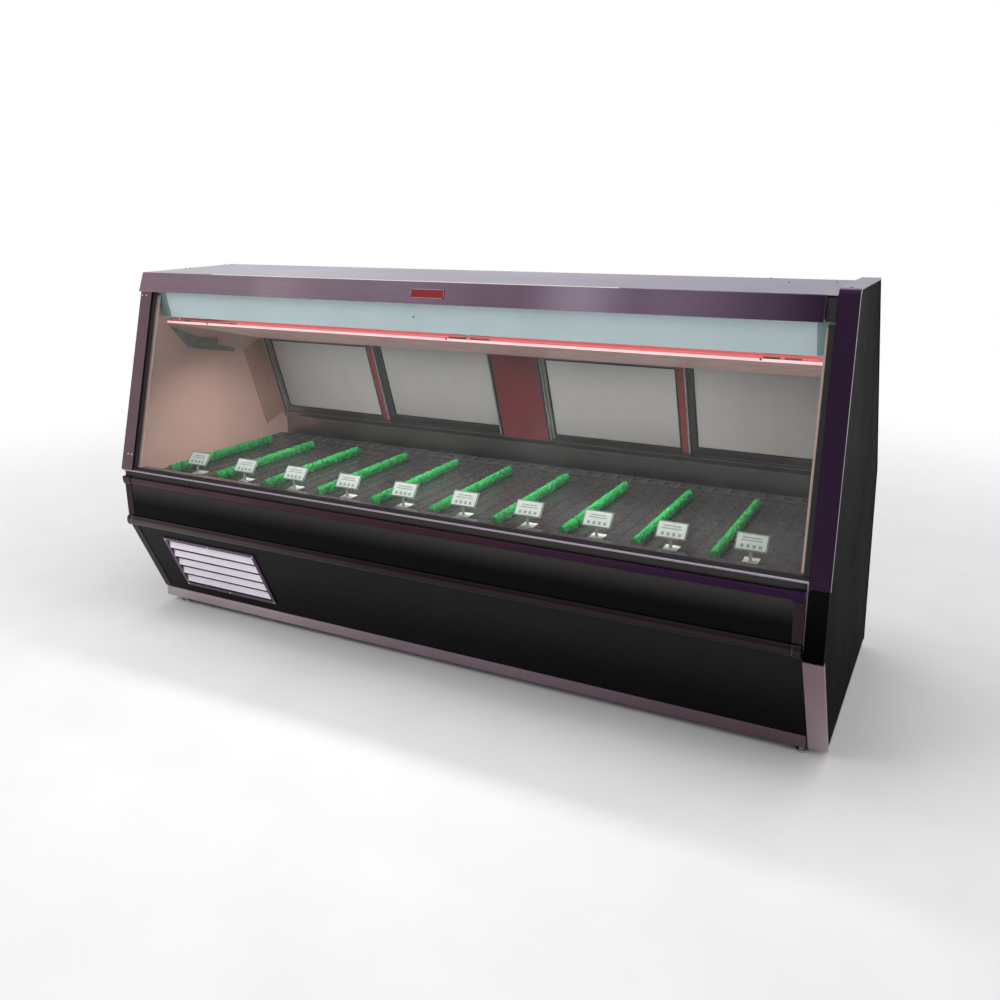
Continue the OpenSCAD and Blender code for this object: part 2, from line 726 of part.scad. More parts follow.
// Axial fan on the Y axis
module fan(x, v, z, radius, blades, depth) {
    hub_r = radius * 0.28;
    from_front() translate([x, v, z]) rotate([-90, 0, 0]) difference() {
        union() {
            cylinder(h = depth, r = hub_r);
            for (i = [0:blades - 1]) rotate([0, 0, i * 360 / blades])
                translate([hub_r * 0.7, 0, depth / 2]) rotate([32, 0, 0])
                    translate([0, -radius * 0.2, -0.8])
                        cube([radius * 0.94 - hub_r * 0.7, radius * 0.4, 1.6]);
        }
        translate([0, 0, -1]) cylinder(h = depth + 2, r = shaft_r + run_gap);
    }
}
module evap_fan_left() { color("white") fan(-fan_x, plenum_v - 8, fan_z, fan_r, 5, 14); }
module evap_fan_right() { color("white") fan(fan_x, plenum_v - 8, fan_z, fan_r, 5, 14); }

tray_z = rail_z[1] + 3;
cond_x = [-1110, -700];
cond_v = [300, 352];
cond_z = [tray_z, tray_z + 232];
cond_fan = [-905, 378, tray_z + 116];
cond_fan_r = 92;
module condenser() {
    motor_v = cond_fan[1] + 30;
    color([0.30, 0.31, 0.33]) {
        block(cond_x, cond_v, cond_z);
        difference() {
            block([cond_x[0] + 60, cond_x[1] - 60], [cond_v[1], cond_v[1] + 46],
                  [cond_z[0], cond_z[1]]);
            from_front() translate([cond_fan[0], cond_v[1] - 1, cond_fan[2]]) rotate([-90, 0, 0])
                cylinder(h = 60, r = cond_fan_r + 5);
        }
        from_front() translate([cond_fan[0], motor_v, cond_fan[2]]) rotate([-90, 0, 0])
            cylinder(h = 70, r = 36);
        from_front() translate([cond_fan[0], cond_fan[1] - 6, cond_fan[2]]) rotate([-90, 0, 0])
            cylinder(h = 40, r = shaft_r);
        block([cond_fan[0] - 20, cond_fan[0] + 20], [motor_v + 15, motor_v + 55],
              [tray_z, cond_fan[2] - 30]);
    }
}
module condenser_fan() {
    color("silver") fan(cond_fan[0], cond_fan[1], cond_fan[2], cond_fan_r, 4, 22);
}
comp = [-720, 640];
comp_r = 84;
comp_h = 190;
module compressor() {
    color([0.12, 0.12, 0.13]) from_front() translate([comp[0], comp[1], tray_z]) {
        rotate_extrude() polygon(concat([[0, 18], [comp_r - 14, 18]],
            [for (i = [0:6]) let (a = -90 + i * 15) [comp_r - 14 + 14 * cos(a), 32 + 14 * sin(a)]],
            [for (i = [0:8]) let (a = i * 11.25) [comp_r * cos(a), comp_h - 60 + 60 * sin(a)]],
            [[0, comp_h]]));
        translate([-100, -70, 12]) cube([200, 140, 6]);
        for (x = [-86, 86], y = [-56, 56]) translate([x, y, 0]) cylinder(h = 12, r = 12);
        translate([comp_r - 8, -26, 70]) cube([34, 52, 60]);
    }
}
module refrigerant_lines() {
    pipe_r = 5;
    module run_z(x, v, z) {
        from_front() translate([x, v, z[0]]) cylinder(h = z[1] - z[0], r = pipe_r);
    }
    module run_v(x, v, z) {
        from_front() translate([x, v[0], z]) rotate([-90, 0, 0]) cylinder(h = v[1] - v[0], r = pipe_r);
    }
    module run_x(x, v, z) {
        from_front() translate([x[0], v, z]) rotate([0, 90, 0]) cylinder(h = x[1] - x[0], r = pipe_r);
    }
    module elbow(x, v, z) {
        from_front() translate([x, v, z]) sphere(r = pipe_r);
    }
    color([0.72, 0.42, 0.25]) {
        // Suction: compressor dome to the rear wall of the compartment
        run_z(comp[0], comp[1], [tray_z + comp_h, 330]);
        elbow(comp[0], comp[1], 330);
        run_v(comp[0], [comp[1], 860], 330);
        elbow(comp[0], 860, 330);
        run_z(comp[0], 860, [330, tank_floor_z - 1]);
        // Liquid: condenser to the receiver
        run_v(-1080, [cond_v[1], 560], 280);
        elbow(-1080, 560, 280);
        run_z(-1080, 560, [tray_z + 150, 280]);
    }
    // Receiver
    color([0.12, 0.12, 0.13]) from_front() translate([-1080, 560, tray_z]) cylinder(h = 150, r = 45);
}

// ---- controls ----
knob = [920, 545];
knob_shaft_r = 3;
switch = [1000, 545];
control_face_v = panel_v + 4;
pivot_v = control_face_v - 4;
pin_r = 1.5;
module switch_axis(l, r) {
    from_front() translate([switch[0] - l / 2, pivot_v, switch[1]]) rotate([0, 90, 0]) cylinder(h = l, r = r);
}
module control_box() {
    color([0.20, 0.20, 0.21]) {
        difference() {
            union() {
                block([control_x[0] + 1, control_x[1] - 1], [panel_v - 36, panel_v + 2],
                      [control_z[0] + 1, control_z[1] - 1]);
                block([control_x[0] - 8, control_x[1] + 8], [panel_v + 2, control_face_v],
                      [control_z[0] - 8, control_z[1] + 8]);
            }
            block([switch[0] - 11, switch[0] + 11], [panel_v - 20, control_face_v + 1],
                  [switch[1] - 16, switch[1] + 16]);
            switch_axis(29, pin_r + run_gap);
        }
        from_front() translate([knob[0], control_face_v, knob[1]]) rotate([-90, 0, 0])
            cylinder(h = 12, r = knob_shaft_r);
    }
}
module thermostat_knob() {
    color("black") from_front() translate([knob[0], control_face_v + 1, knob[1]])
        rotate([-90, 0, 0]) difference() {
            union() {
                cylinder(h = 5, r = 18);
                cylinder(h = 15, r = 14);
                translate([-2, -17, 5]) cube([4, 17, 10]);
            }
            translate([0, 0, -1]) cylinder(h = 13, r = knob_shaft_r + run_gap);
        }
}
module light_switch() {
    // Rocker: two faces that meet at a shallow angle over the pivot pin
    color([0.6, 0.08, 0.06]) {
        switch_axis(27, pin_r);
        slab(switch[0] - 9, switch[0] + 9,
             [[pivot_v - 6, switch[1] - 7], [pivot_v + 5, switch[1] - 13.5], [pivot_v + 7, switch[1] - 13.5],
              [pivot_v + 5, switch[1]], [pivot_v + 7, switch[1] + 13.5], [pivot_v + 5, switch[1] + 13.5],
              [pivot_v - 6, switch[1] + 7]]);
    }
}

// ---- screws ----
module screw(d) {
    rotate([-90, 0, 0]) rotate_extrude() polygon(concat([[0, 0], [d / 2, 0]],
        [for (i = [0:4]) let (a = i * 22.5) [d / 2 * cos(a), -d / 4 * sin(a)]], [[0, -d / 4]]));
}
module trim_screws() {
    color("silver") {
        // Pairs at the head and the foot of the left post
        for (x = [-1261, -1241]) post_screw(x, 1223);
        for (x = [-1244, -1226]) post_screw(x, 645);
        // Along the left edge of the canopy top, and over its right half
        for (v = [406, 430, 606, 625, 663]) canopy_screw(-1258, v);
        canopy_screw(950, 668);
        canopy_screw(1030, 530);
        canopy_screw(1158, 585);
    }
}
module post_screw(x, z) {
    from_front() translate([x, post_v(z) - 0.01, z]) rotate([-post_lean, 0, 0]) screw(7);
}
module canopy_screw(x, v) {
    slope = atan(canopy_rise / (canopy_v[1] - canopy_v[0]));
    from_front() translate([x, v, canopy_top_z(v) + 0.01]) rotate([slope - 90, 0, 0]) screw(7);
}

base_frame();
kick_plate();
tank_shell();
tank_foam();
tank_liner();
end_liners();
end_panels();
post_trims();
post_channel();
canopy_frame();
canopy_top();
front_fascia();
canopy_apron();
canopy_soffit();
lamp_housing();
lamp_tubes();
lamp_supports();
front_glass();
glass_channel();
ledge_trim();
belt_rail();
upper_front_panel();
mid_bumper();
lower_front_panel();
edge_strips();
grille_frame();
grille_slats();
deck_pans();
air_grilles();
dividers();
ticket_holders();
door_tracks();
rear_jambs();
centre_mullion();
door_1_frame();
door_2_frame();
door_3_frame();
door_4_frame();
door_1_glass();
door_2_glass();
door_3_glass();
door_4_glass();
rear_shelf();
rear_panel();
evaporator();
fan_plenum();
evap_fan_left();
evap_fan_right();
compressor();
condenser();
condenser_fan();
refrigerant_lines();
control_box();
thermostat_knob();
light_switch();
trim_screws();
foot_front_left();
foot_front_right();
foot_rear_left();
foot_rear_right();
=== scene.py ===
"""Looks of the refrigerated deli case: materials, fine detail, floor, light and camera.

Everything is in metres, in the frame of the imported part: X along the case, Y to the rear, Z up.
"""
import math
import random

import bmesh
import bpy
from mathutils import Matrix, Vector


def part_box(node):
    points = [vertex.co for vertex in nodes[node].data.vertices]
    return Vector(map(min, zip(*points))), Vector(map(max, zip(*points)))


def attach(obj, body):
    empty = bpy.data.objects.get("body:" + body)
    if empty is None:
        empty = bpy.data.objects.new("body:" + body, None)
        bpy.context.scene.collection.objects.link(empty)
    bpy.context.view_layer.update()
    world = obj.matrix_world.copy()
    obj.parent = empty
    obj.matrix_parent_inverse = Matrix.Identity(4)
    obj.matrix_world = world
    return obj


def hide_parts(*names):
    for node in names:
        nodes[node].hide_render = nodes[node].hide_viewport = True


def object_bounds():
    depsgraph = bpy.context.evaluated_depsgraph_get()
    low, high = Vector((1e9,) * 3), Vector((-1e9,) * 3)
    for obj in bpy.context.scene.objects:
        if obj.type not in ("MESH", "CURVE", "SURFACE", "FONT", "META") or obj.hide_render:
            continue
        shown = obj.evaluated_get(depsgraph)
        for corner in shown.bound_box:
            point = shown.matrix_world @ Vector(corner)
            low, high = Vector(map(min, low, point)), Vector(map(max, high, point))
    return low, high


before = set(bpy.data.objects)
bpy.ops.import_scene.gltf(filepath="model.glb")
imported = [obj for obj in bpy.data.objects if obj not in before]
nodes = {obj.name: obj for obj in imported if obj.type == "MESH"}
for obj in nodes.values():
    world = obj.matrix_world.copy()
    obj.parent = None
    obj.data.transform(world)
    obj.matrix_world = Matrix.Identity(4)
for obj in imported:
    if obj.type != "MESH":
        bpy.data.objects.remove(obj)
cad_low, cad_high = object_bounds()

CASE = "case"
MM = 0.001
looks = {}
random.seed(41)


# ---------------------------------------------------------------- shader helpers
def plug(tree, socket, value):
    """Sets or links one input."""
    if isinstance(value, bpy.types.NodeSocket):
        tree.links.new(value, socket)
    else:
        socket.default_value = value


def feed(tree, target, **inputs):
    """Sets or links inputs of a node. Names use _ for a space."""
    for key, value in inputs.items():
        plug(tree, target.inputs[key.replace("_", " ")], value)


def add(tree, kind, settings=None, **inputs):
    """A new shader node, with its settings and its inputs."""
    made = tree.nodes.new(kind)
    for key, value in (settings or {}).items():
        setattr(made, key, value)
    feed(tree, made, **inputs)
    return made


def shader(name):
    """A new material, kept in looks under its name: (node tree, principled node)."""
    looks[name] = bpy.data.materials.new(name)
    looks[name].use_nodes = True
    tree = looks[name].node_tree
    return tree, tree.nodes["Principled BSDF"]


def place(tree):
    return add(tree, "ShaderNodeTexCoord").outputs["Object"]


def along(tree, axis):
    """The X, Y or Z coordinate of the shaded point, in metres."""
    return add(tree, "ShaderNodeSeparateXYZ", Vector=place(tree)).outputs[axis]


def noise(tree, scale, stretch=(1, 1, 1), detail=3.0):
    mapped = add(tree, "ShaderNodeMapping", Vector=place(tree), Scale=stretch).outputs[0]
    return add(tree, "ShaderNodeTexNoise", Vector=mapped, Scale=scale, Detail=detail).outputs["Fac"]


def spread(tree, value, low, high, to_low=0.0, to_high=1.0):
    """Maps value from low..high to to_low..to_high, clamped, with smooth ends."""
    return add(tree, "ShaderNodeMapRange", {"interpolation_type": "SMOOTHSTEP"}, Value=value,
               From_Min=low, From_Max=high, To_Min=to_low, To_Max=to_high).outputs[0]


def colour(value):
    if isinstance(value, (tuple, list)) and len(value) == 3:
        return (*value, 1.0)
    return value


def mix(tree, fac, first, second):
    return add(tree, "ShaderNodeMixRGB", Fac=fac, Color1=colour(first), Color2=colour(second)).outputs[0]


def math_node(tree, operation, first, second):
    made = add(tree, "ShaderNodeMath", {"operation": operation})
    for socket, value in zip(made.inputs, (first, second)):
        plug(tree, socket, value)
    return made.outputs[0]


def bump(tree, height, strength, depth):
    return add(tree, "ShaderNodeBump", Height=height, Strength=strength, Distance=depth).outputs[0]


def facing_up(tree):
    """1 where the surface looks up, 0 on upright faces."""
    normal = add(tree, "ShaderNodeNewGeometry").outputs["Normal"]
    return spread(tree, add(tree, "ShaderNodeSeparateXYZ", Vector=normal).outputs["Z"], 0.70, 0.95)


def blend_shaders(tree, fac, first, second):
    mixer = add(tree, "ShaderNodeMixShader", Fac=fac)
    tree.links.new(first, mixer.inputs[1])
    tree.links.new(second, mixer.inputs[2])
    return mixer.outputs[0]


def surface(tree, output):
    tree.links.new(output, tree.nodes["Material Output"].inputs["Surface"])


def darker(tone, part):
    return tuple(c * part for c in tone)


# ---------------------------------------------------------------- materials
def brushed_metal(name, tones, grain, rough=(0.24, 0.36), axis="X", run=None, top=None, glint=None):
    """Brushed metal. tones go from the low end of axis to its high end; on the trim they are painted light
    and shade. grain is the noise stretch.

    top is a painted lighter tone on faces that look up. glint is a painted soft highlight: (x, half width,
    tone)."""
    tree, main = shader(name)
    streak = noise(tree, 1.0, grain, 4.0)
    low, high = run or (cad_low.x, cad_high.x)
    place_on = along(tree, axis)
    # Painted light and shade on the trim: the tones blend along the axis
    tint = tones[0]
    step = (high - low) / max(len(tones) - 1, 1)
    for index, tone in enumerate(tones[1:]):
        start = low + index * step
        tint = mix(tree, spread(tree, place_on, start, start + step), tint, tone)
    cloud = spread(tree, noise(tree, 1.8, detail=2.0), 0.35, 0.65, 0.0, 0.22)
    tint = mix(tree, cloud, tint, darker(tones[-1], 0.8))
    tint = mix(tree, spread(tree, streak, 0.3, 0.7, 0.0, 0.14), tint, darker(tones[-1], 0.6))
    # Painted light: faces that look up take the lighter top tone
    if top:
        tint = mix(tree, facing_up(tree), tint, top)
    # Painted highlight: a soft glint mixed into the base colour
    if glint:
        middle, reach, tone = glint
        rise = spread(tree, place_on, middle - reach, middle)
        fall = spread(tree, place_on, middle, middle + reach, 1.0, 0.0)
        tint = mix(tree, math_node(tree, "MULTIPLY", rise, fall), tint, tone)
    smudge = spread(tree, noise(tree, 9.0, detail=5.0), 0.45, 0.75, 0.0, 0.06)
    rough_grain = spread(tree, streak, 0.25, 0.75, rough[0], rough[1])
    feed(tree, main, Base_Color=tint, Metallic=1.0, Anisotropic=0.5,
         Roughness=math_node(tree, "ADD", rough_grain, smudge), Normal=bump(tree, streak, 0.06, 0.0003))


def painted(name, tone, rough=0.35, coat=0.0, mottle=0.06, specular=0.4):
    """Baked enamel: fine orange peel and faint mottling."""
    tree, main = shader(name)
    cloud = noise(tree, 5.0, detail=4.0)
    tint = mix(tree, spread(tree, cloud, 0.35, 0.7), tone, darker(tone, 1 - 3 * mottle))
    feed(tree, main, Base_Color=tint, Coat_Weight=coat, Coat_Roughness=0.08,
         Specular_IOR_Level=specular,
         Roughness=spread(tree, noise(tree, 12.0, detail=5.0), 0.3, 0.7, rough - 0.05, rough + 0.07),
         Normal=bump(tree, noise(tree, 420.0, detail=1.0), 0.05, 0.0005))


def painted_glow_enamel(name, tone, glow):
    """Enamel that glows with painted lamp light, standing in for a lamp close behind it: mottled paint with
    an even glow over it.
    """
    tree, main = shader(name)
    tint = mix(tree, spread(tree, noise(tree, 7.0, detail=3.0), 0.35, 0.7), tone, darker(tone, 0.86))
    feed(tree, main, Base_Color=darker(tone, 0.5) + (1.0,), Emission_Color=tint, Emission_Strength=glow,
         Roughness=spread(tree, noise(tree, 20.0), 0.3, 0.7, 0.35, 0.48), Specular_IOR_Level=0.2)


def black_front(name, low, high, painted_sheen_tone):
    """Black gloss sheet with a painted sheen, charcoal towards its top edge and black lower down, with fine
    scuffs.
    """
    tree, main = shader(name)
    height = spread(tree, along(tree, "Z"), low, high)
    fade = math_node(tree, "MULTIPLY", height, spread(tree, noise(tree, 1.6, (0.35, 1, 1), 2.0), 0.3, 0.7,
                                                      0.8, 1.0))
    scuff = noise(tree, 30.0, (0.2, 1, 1), 6.0)
    feed(tree, main, Base_Color=mix(tree, fade, (0.0012, 0.0012, 0.0014), painted_sheen_tone),
         Specular_IOR_Level=0.05, Roughness=spread(tree, scuff, 0.4, 0.75, 0.26, 0.34),
         Normal=bump(tree, noise(tree, 300.0, detail=1.0), 0.02, 0.0004))


def black_end(name):
    """Black end sheet, with a soft sheen high up behind the post that fades to the rear and down."""
    tree, main = shader(name)
    band = spread(tree, along(tree, "Y"), -0.30, 0.16, 1.0, 0.0)
    lift = math_node(tree, "MULTIPLY", band, spread(tree, along(tree, "Z"), 0.30, 1.15))
    feed(tree, main, Base_Color=mix(tree, lift, (0.0008, 0.0008, 0.0008), (0.020, 0.0195, 0.019)),
         Specular_IOR_Level=0.004,
         Roughness=spread(tree, noise(tree, 6.0, detail=2.0), 0.35, 0.7, 0.50, 0.54))


def plastic(name, tone, rough=0.35, fleck=0.12):
    """Moulded plastic with a fine matt texture."""
    tree, main = shader(name)
    cloud = noise(tree, 40.0, detail=3.0)
    tint = mix(tree, spread(tree, cloud, 0.35, 0.65), tone, darker(tone, 1 - fleck * 2))
    feed(tree, main, Base_Color=tint,
         Normal=bump(tree, noise(tree, 700.0, detail=2.0), 0.08, 0.0004),
         Roughness=spread(tree, noise(tree, 25.0), 0.3, 0.7, rough - 0.05, rough + 0.08))


def foliage(name):
    """Moulded garnish: leaf greens that run from dark roots to bright tips, the dark roots being painted
    shade down between the leaves.
    """
    tree, main = shader(name)
    rise = spread(tree, along(tree, "Z"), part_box("dividers")[0].z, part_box("dividers")[1].z)
    leaf = noise(tree, 95.0, detail=4.0)
    # Painted shade: darker low down, between the leaves
    tint = mix(tree, rise, (0.004, 0.090, 0.022), (0.010, 0.27, 0.060))
    tint = mix(tree, spread(tree, leaf, 0.45, 0.75, 0.0, 0.7), tint, (0.035, 0.42, 0.10))
    feed(tree, main, Base_Color=tint, Subsurface_Weight=0.15, Subsurface_Scale=0.006,
         Roughness=spread(tree, noise(tree, 60.0), 0.3, 0.7, 0.34, 0.52),
         Normal=bump(tree, leaf, 0.35, 0.002))


def clear_sheet(name, tint, haze, haze_tone, streak_depth, mirror=(0.015, 0.5)):
    """Thin sheet glass: straight-through light, a mirror coat by angle, and a faint wiped film."""
    tree, main = shader(name)
    tree.nodes.remove(main)
    through = add(tree, "ShaderNodeBsdfTransparent", Color=colour(tint)).outputs[0]
    gloss = add(tree, "ShaderNodeBsdfGlossy", Color=(1, 1, 1, 1), Roughness=0.03).outputs[0]
    film = add(tree, "ShaderNodeBsdfDiffuse", Color=colour(haze_tone)).outputs[0]
    back = add(tree, "ShaderNodeBsdfTranslucent", Color=colour(haze_tone)).outputs[0]
    wipe = spread(tree, noise(tree, 2.5, (1.6, 1, 0.7), 5.0), 0.3, 0.7,
                  max(haze - streak_depth, 0.0), haze + streak_depth)
    body = blend_shaders(tree, wipe, through, blend_shaders(tree, 0.35, film, back))
    angle = add(tree, "ShaderNodeLayerWeight", Blend=0.12).outputs["Fresnel"]
    surface(tree, blend_shaders(tree, spread(tree, angle, 0.0, 1.0, *mirror), body, gloss))


def lamp_glow(name, seen_tone, strength):
    """A lit tube. It looks rose to the eye, and is duller towards the left end of the row."""
    tree, main = shader(name)
    tree.nodes.remove(main)
    flicker = spread(tree, noise(tree, 6.0, detail=1.0), 0.3, 0.7, 0.94, 1.0)
    ends = spread(tree, along(tree, "X"), -0.98, -0.86, 0.35, 1.0)
    seen = add(tree, "ShaderNodeEmission", Color=colour(seen_tone),
               Strength=math_node(tree, "MULTIPLY", flicker, ends)).outputs[0]
    cast = add(tree, "ShaderNodeEmission", Color=(1.0, 0.84, 0.82, 1.0), Strength=strength).outputs[0]
    eye = add(tree, "ShaderNodeLightPath").outputs["Is Camera Ray"]
    surface(tree, blend_shaders(tree, eye, cast, seen))


# Noise stretch of the metal's grain
ALONG_X = (3.0, 900.0, 900.0)
ALONG_Z = (900.0, 900.0, 3.0)
EVEN = (60.0, 60.0, 60.0)
# Painted light and shade: each list runs from the left end of the case to the right end (the channel's from
# its foot up)
FASCIA_PAINTED_LIGHT = [(0.59, 0.41, 0.49), (0.57, 0.43, 0.50), (0.45, 0.33, 0.42), (0.32, 0.22, 0.30),
                (0.29, 0.20, 0.29), (0.020, 0.008, 0.032)]
BELT_PAINTED_LIGHT = [(0.085, 0.045, 0.052), (0.045, 0.018, 0.026), (0.030, 0.011, 0.042)]
POST_PAINTED_LIGHT = [(0.35, 0.225, 0.27), (0.050, 0.027, 0.060)]
CHANNEL_PAINTED_LIGHT = [(0.50, 0.41, 0.42), (0.27, 0.18, 0.20)]
KICK_PAINTED_LIGHT = [(0.62, 0.53, 0.55), (0.38, 0.29, 0.34), (0.17, 0.105, 0.135)]

# Fascia: a painted soft highlight near x = 0.5 m, over its painted light and shade
brushed_metal("fascia", FASCIA_PAINTED_LIGHT, ALONG_X, (0.20, 0.28), glint=(0.50, 0.20, (0.44, 0.35, 0.46)))
brushed_metal("belt", BELT_PAINTED_LIGHT, ALONG_X, (0.20, 0.30))
# Bumper and ledge: painted light and shade, lighter at the left end
brushed_metal("bumper", [(0.10, 0.076, 0.076), (0.028, 0.020, 0.020), (0.030, 0.022, 0.026)],
              ALONG_X, (0.16, 0.24))
brushed_metal("ledge", [(0.46, 0.38, 0.42), (0.30, 0.20, 0.28), (0.16, 0.09, 0.17)],
              ALONG_X, (0.16, 0.24))
brushed_metal("kick", KICK_PAINTED_LIGHT, ALONG_X, (0.26, 0.36))
# Post: painted light, lighter on the faces that look up
brushed_metal("post", POST_PAINTED_LIGHT, ALONG_Z, (0.18, 0.26), top=(0.42, 0.38, 0.46))
# Painted highlights for the rounded edges of polished trim
brushed_metal("edge_glint", [(0.55, 0.46, 0.52), (0.86, 0.80, 0.92)], EVEN, (0.10, 0.18))
brushed_metal("dull_glint", [(0.40, 0.31, 0.34), (0.20, 0.14, 0.18)], EVEN, (0.16, 0.24))
brushed_metal("channel", CHANNEL_PAINTED_LIGHT, ALONG_Z, (0.26, 0.36), axis="Z", run=(0.0, 0.38))
# Canopy top: painted light and shade, lighter at the left end
brushed_metal("top_steel", [(0.98, 0.94, 0.99), (0.74, 0.70, 0.80), (0.50, 0.46, 0.57)],
              ALONG_X, (0.32, 0.44))
brushed_metal("shelf_steel", [(0.66, 0.63, 0.68), (0.60, 0.57, 0.63)], ALONG_X, (0.30, 0.42))
brushed_metal("inner_steel", [(0.40, 0.33, 0.31), (0.34, 0.28, 0.27)], ALONG_Z, (0.26, 0.38))
painted("cheek_brown", (0.37, 0.235, 0.185), 0.42, mottle=0.05)
painted("red_steel", (0.15, 0.028, 0.033), 0.36, mottle=0.09)
brushed_metal("track_metal", [(0.42, 0.42, 0.44), (0.38, 0.38, 0.40)], ALONG_X)
brushed_metal("zinc", [(0.62, 0.63, 0.64), (0.56, 0.57, 0.58)], (6.0, 6.0, 6.0), (0.34, 0.5))
brushed_metal("tin", [(0.50, 0.50, 0.51), (0.46, 0.46, 0.47)], ALONG_Z, (0.32, 0.44))
brushed_metal("fins", [(0.66, 0.67, 0.69), (0.6, 0.61, 0.63)], (900.0, 3.0, 3.0))
brushed_metal("copper", [(0.72, 0.36, 0.20), (0.66, 0.32, 0.18)], (40.0, 40.0, 40.0))
brushed_metal("chrome", [(0.82, 0.81, 0.83), (0.78, 0.77, 0.8)], EVEN, (0.10, 0.16))
# Trim screws: painted light and shade, bright heads below 1.24 m and dark ones above 1.31 m
brushed_metal("screw_painted_light", [(0.85, 0.83, 0.86), (0.04, 0.035, 0.05)], EVEN, (0.10, 0.2),
              axis="Z", run=(1.24, 1.31))
# Painted sheen near the top edges of the black front panels
black_front("black_upper", 0.445, 0.56, (0.060, 0.057, 0.054))
black_front("black_lower", 0.10, 0.36, (0.012, 0.011, 0.011))
black_end("black_end")
painted("liner", (0.55, 0.37, 0.325), 0.5, mottle=0.02, specular=0.2)
painted("canopy", (0.58, 0.69, 0.73), 0.42, mottle=0.02)
# Painted shade: a darker copy of the canopy colour, for the apron's ends
painted("canopy_end_shade", (0.16, 0.28, 0.28), 0.42, mottle=0.02)
# Painted lamp light: the soffit and the three bands of the lip glow; lip_dim is the dimmer left end
painted_glow_enamel("soffit", (0.42, 0.27, 0.25), 0.42)
painted_glow_enamel("lip_glow", (1.0, 0.60, 0.62), 0.92)
painted_glow_enamel("lip_rose", (0.72, 0.115, 0.12), 0.90)
painted_glow_enamel("lip_dim", (0.40, 0.060, 0.045), 0.70)
# Painted highlight: the fascia bead glows
painted_glow_enamel("bead_painted_glow", (1.0, 0.90, 0.80), 0.42)
painted("frame_paint", (0.035, 0.035, 0.038), 0.5)
painted("louvre_white", (0.84, 0.80, 0.88), 0.35, mottle=0.03)
painted("grille_violet", (0.075, 0.030, 0.075), 0.3, coat=0.3)
painted("black_gloss", (0.012, 0.012, 0.013), 0.22, coat=0.4)
painted("black_satin", (0.016, 0.016, 0.017), 0.42, specular=0.25)
painted("maroon_black", (0.016, 0.006, 0.009), 0.34, specular=0.2)
plastic("pan_black", (0.020, 0.020, 0.021), 0.24)
plastic("rubber", (0.008, 0.008, 0.009), 0.55)
plastic("red_seal", (0.20, 0.026, 0.030), 0.45)
plastic("pink_seal", (0.40, 0.26, 0.22), 0.45)
plastic("navy_seal", (0.012, 0.018, 0.040), 0.45)
plastic("grey_seal", (0.20, 0.25, 0.24), 0.45)
plastic("charcoal", (0.030, 0.042, 0.042), 0.40)
plastic("green_grey", (0.15, 0.19, 0.155), 0.42)
plastic("grey_plastic", (0.045, 0.052, 0.050), 0.4)
plastic("clip_red", (0.30, 0.055, 0.055), 0.4)
foliage("leaf")
plastic("card", (0.42, 0.48, 0.44), 0.30, 0.03)
plastic("card_edge", (0.10, 0.13, 0.12), 0.4, 0.03)
plastic("card_mark", (0.16, 0.19, 0.18), 0.5, 0.03)
plastic("white_mark", (0.75, 0.75, 0.74), 0.5, 0.02)
plastic("foam", (0.72, 0.58, 0.30), 0.8)
plastic("fan_plastic", (0.62, 0.62, 0.63), 0.4)
painted("red_enamel", (0.22, 0.003, 0.009), 0.24, coat=0.4)
clear_sheet("front_glass", (0.985, 0.995, 0.992), 0.022, (0.75, 0.80, 0.80), 0.008, (0.008, 0.35))
clear_sheet("door_glass", (0.74, 0.75, 0.73), 0.86, (0.50, 0.50, 0.485), 0.10, (0.006, 0.20))
lamp_glow("lamp", (0.72, 0.115, 0.12), 3.2)

# Look of each CAD node
LOOK_OF = {
    "fascia": "front_fascia",
    "belt": "belt_rail",
    "bumper": "mid_bumper",
    "ledge": "ledge_trim",
    "kick": "kick_plate",
    "post": "post_trims",
    "channel": "post_channel",
    "top_steel": "canopy_top",
    "shelf_steel": "rear_shelf",
    "inner_steel": "tank_liner door_1_frame door_2_frame door_3_frame door_4_frame",
    "cheek_brown": "rear_jambs",
    "red_steel": "centre_mullion",
    "track_metal": "door_tracks",
    "zinc": "tank_shell condenser_fan foot_front_left foot_front_right foot_rear_left foot_rear_right",
    "tin": "fan_plenum",
    "black_upper": "upper_front_panel",
    "black_lower": "lower_front_panel",
    "maroon_black": "edge_strips",
    "black_end": "end_panels",
    "liner": "end_liners",
    "canopy": "canopy_apron lamp_housing",
    "soffit": "canopy_soffit",
    "frame_paint": "base_frame canopy_frame",
    "louvre_white": "grille_slats",
    "grille_violet": "grille_frame",
    "black_satin": "rear_panel",
    "black_gloss": "compressor",
    "pan_black": "deck_pans",
    "rubber": "glass_channel thermostat_knob",
    "grey_plastic": "air_grilles control_box",
    "green_grey": "lamp_supports",
    "card": "ticket_holders",
    "foam": "tank_foam",
    "fan_plastic": "evap_fan_left evap_fan_right",
    "fins": "evaporator condenser",
    "copper": "refrigerant_lines",
    "red_enamel": "light_switch",
    "screw_painted_light": "trim_screws",
    "front_glass": "front_glass",
    "door_glass": "door_1_glass door_2_glass door_3_glass door_4_glass",
    "lamp": "lamp_tubes",
}

# Radius of the softened edges in mm
EDGE_RADIUS = {"post_trims": 2.4, "post_channel": 1.6, "belt_rail": 1.0, "front_fascia": 0.9,
               "end_panels": 1.2, "canopy_top": 0.8, "front_glass": 0.8, "lamp_tubes": 0.0,
               "trim_screws": 0.0, "end_liners": 1.0, "centre_mullion": 1.0, "ledge_trim": 1.0}
DEFAULT_EDGE = 0.6

# Painted highlight on the softened edges of polished trim
GLINT_OF = {"post_trims": "edge_glint", "front_fascia": "dull_glint", "belt_rail": "dull_glint",
            "ledge_trim": "edge_glint", "kick_plate": "dull_glint", "post_channel": "edge_glint",
            "mid_bumper": "dull_glint"}


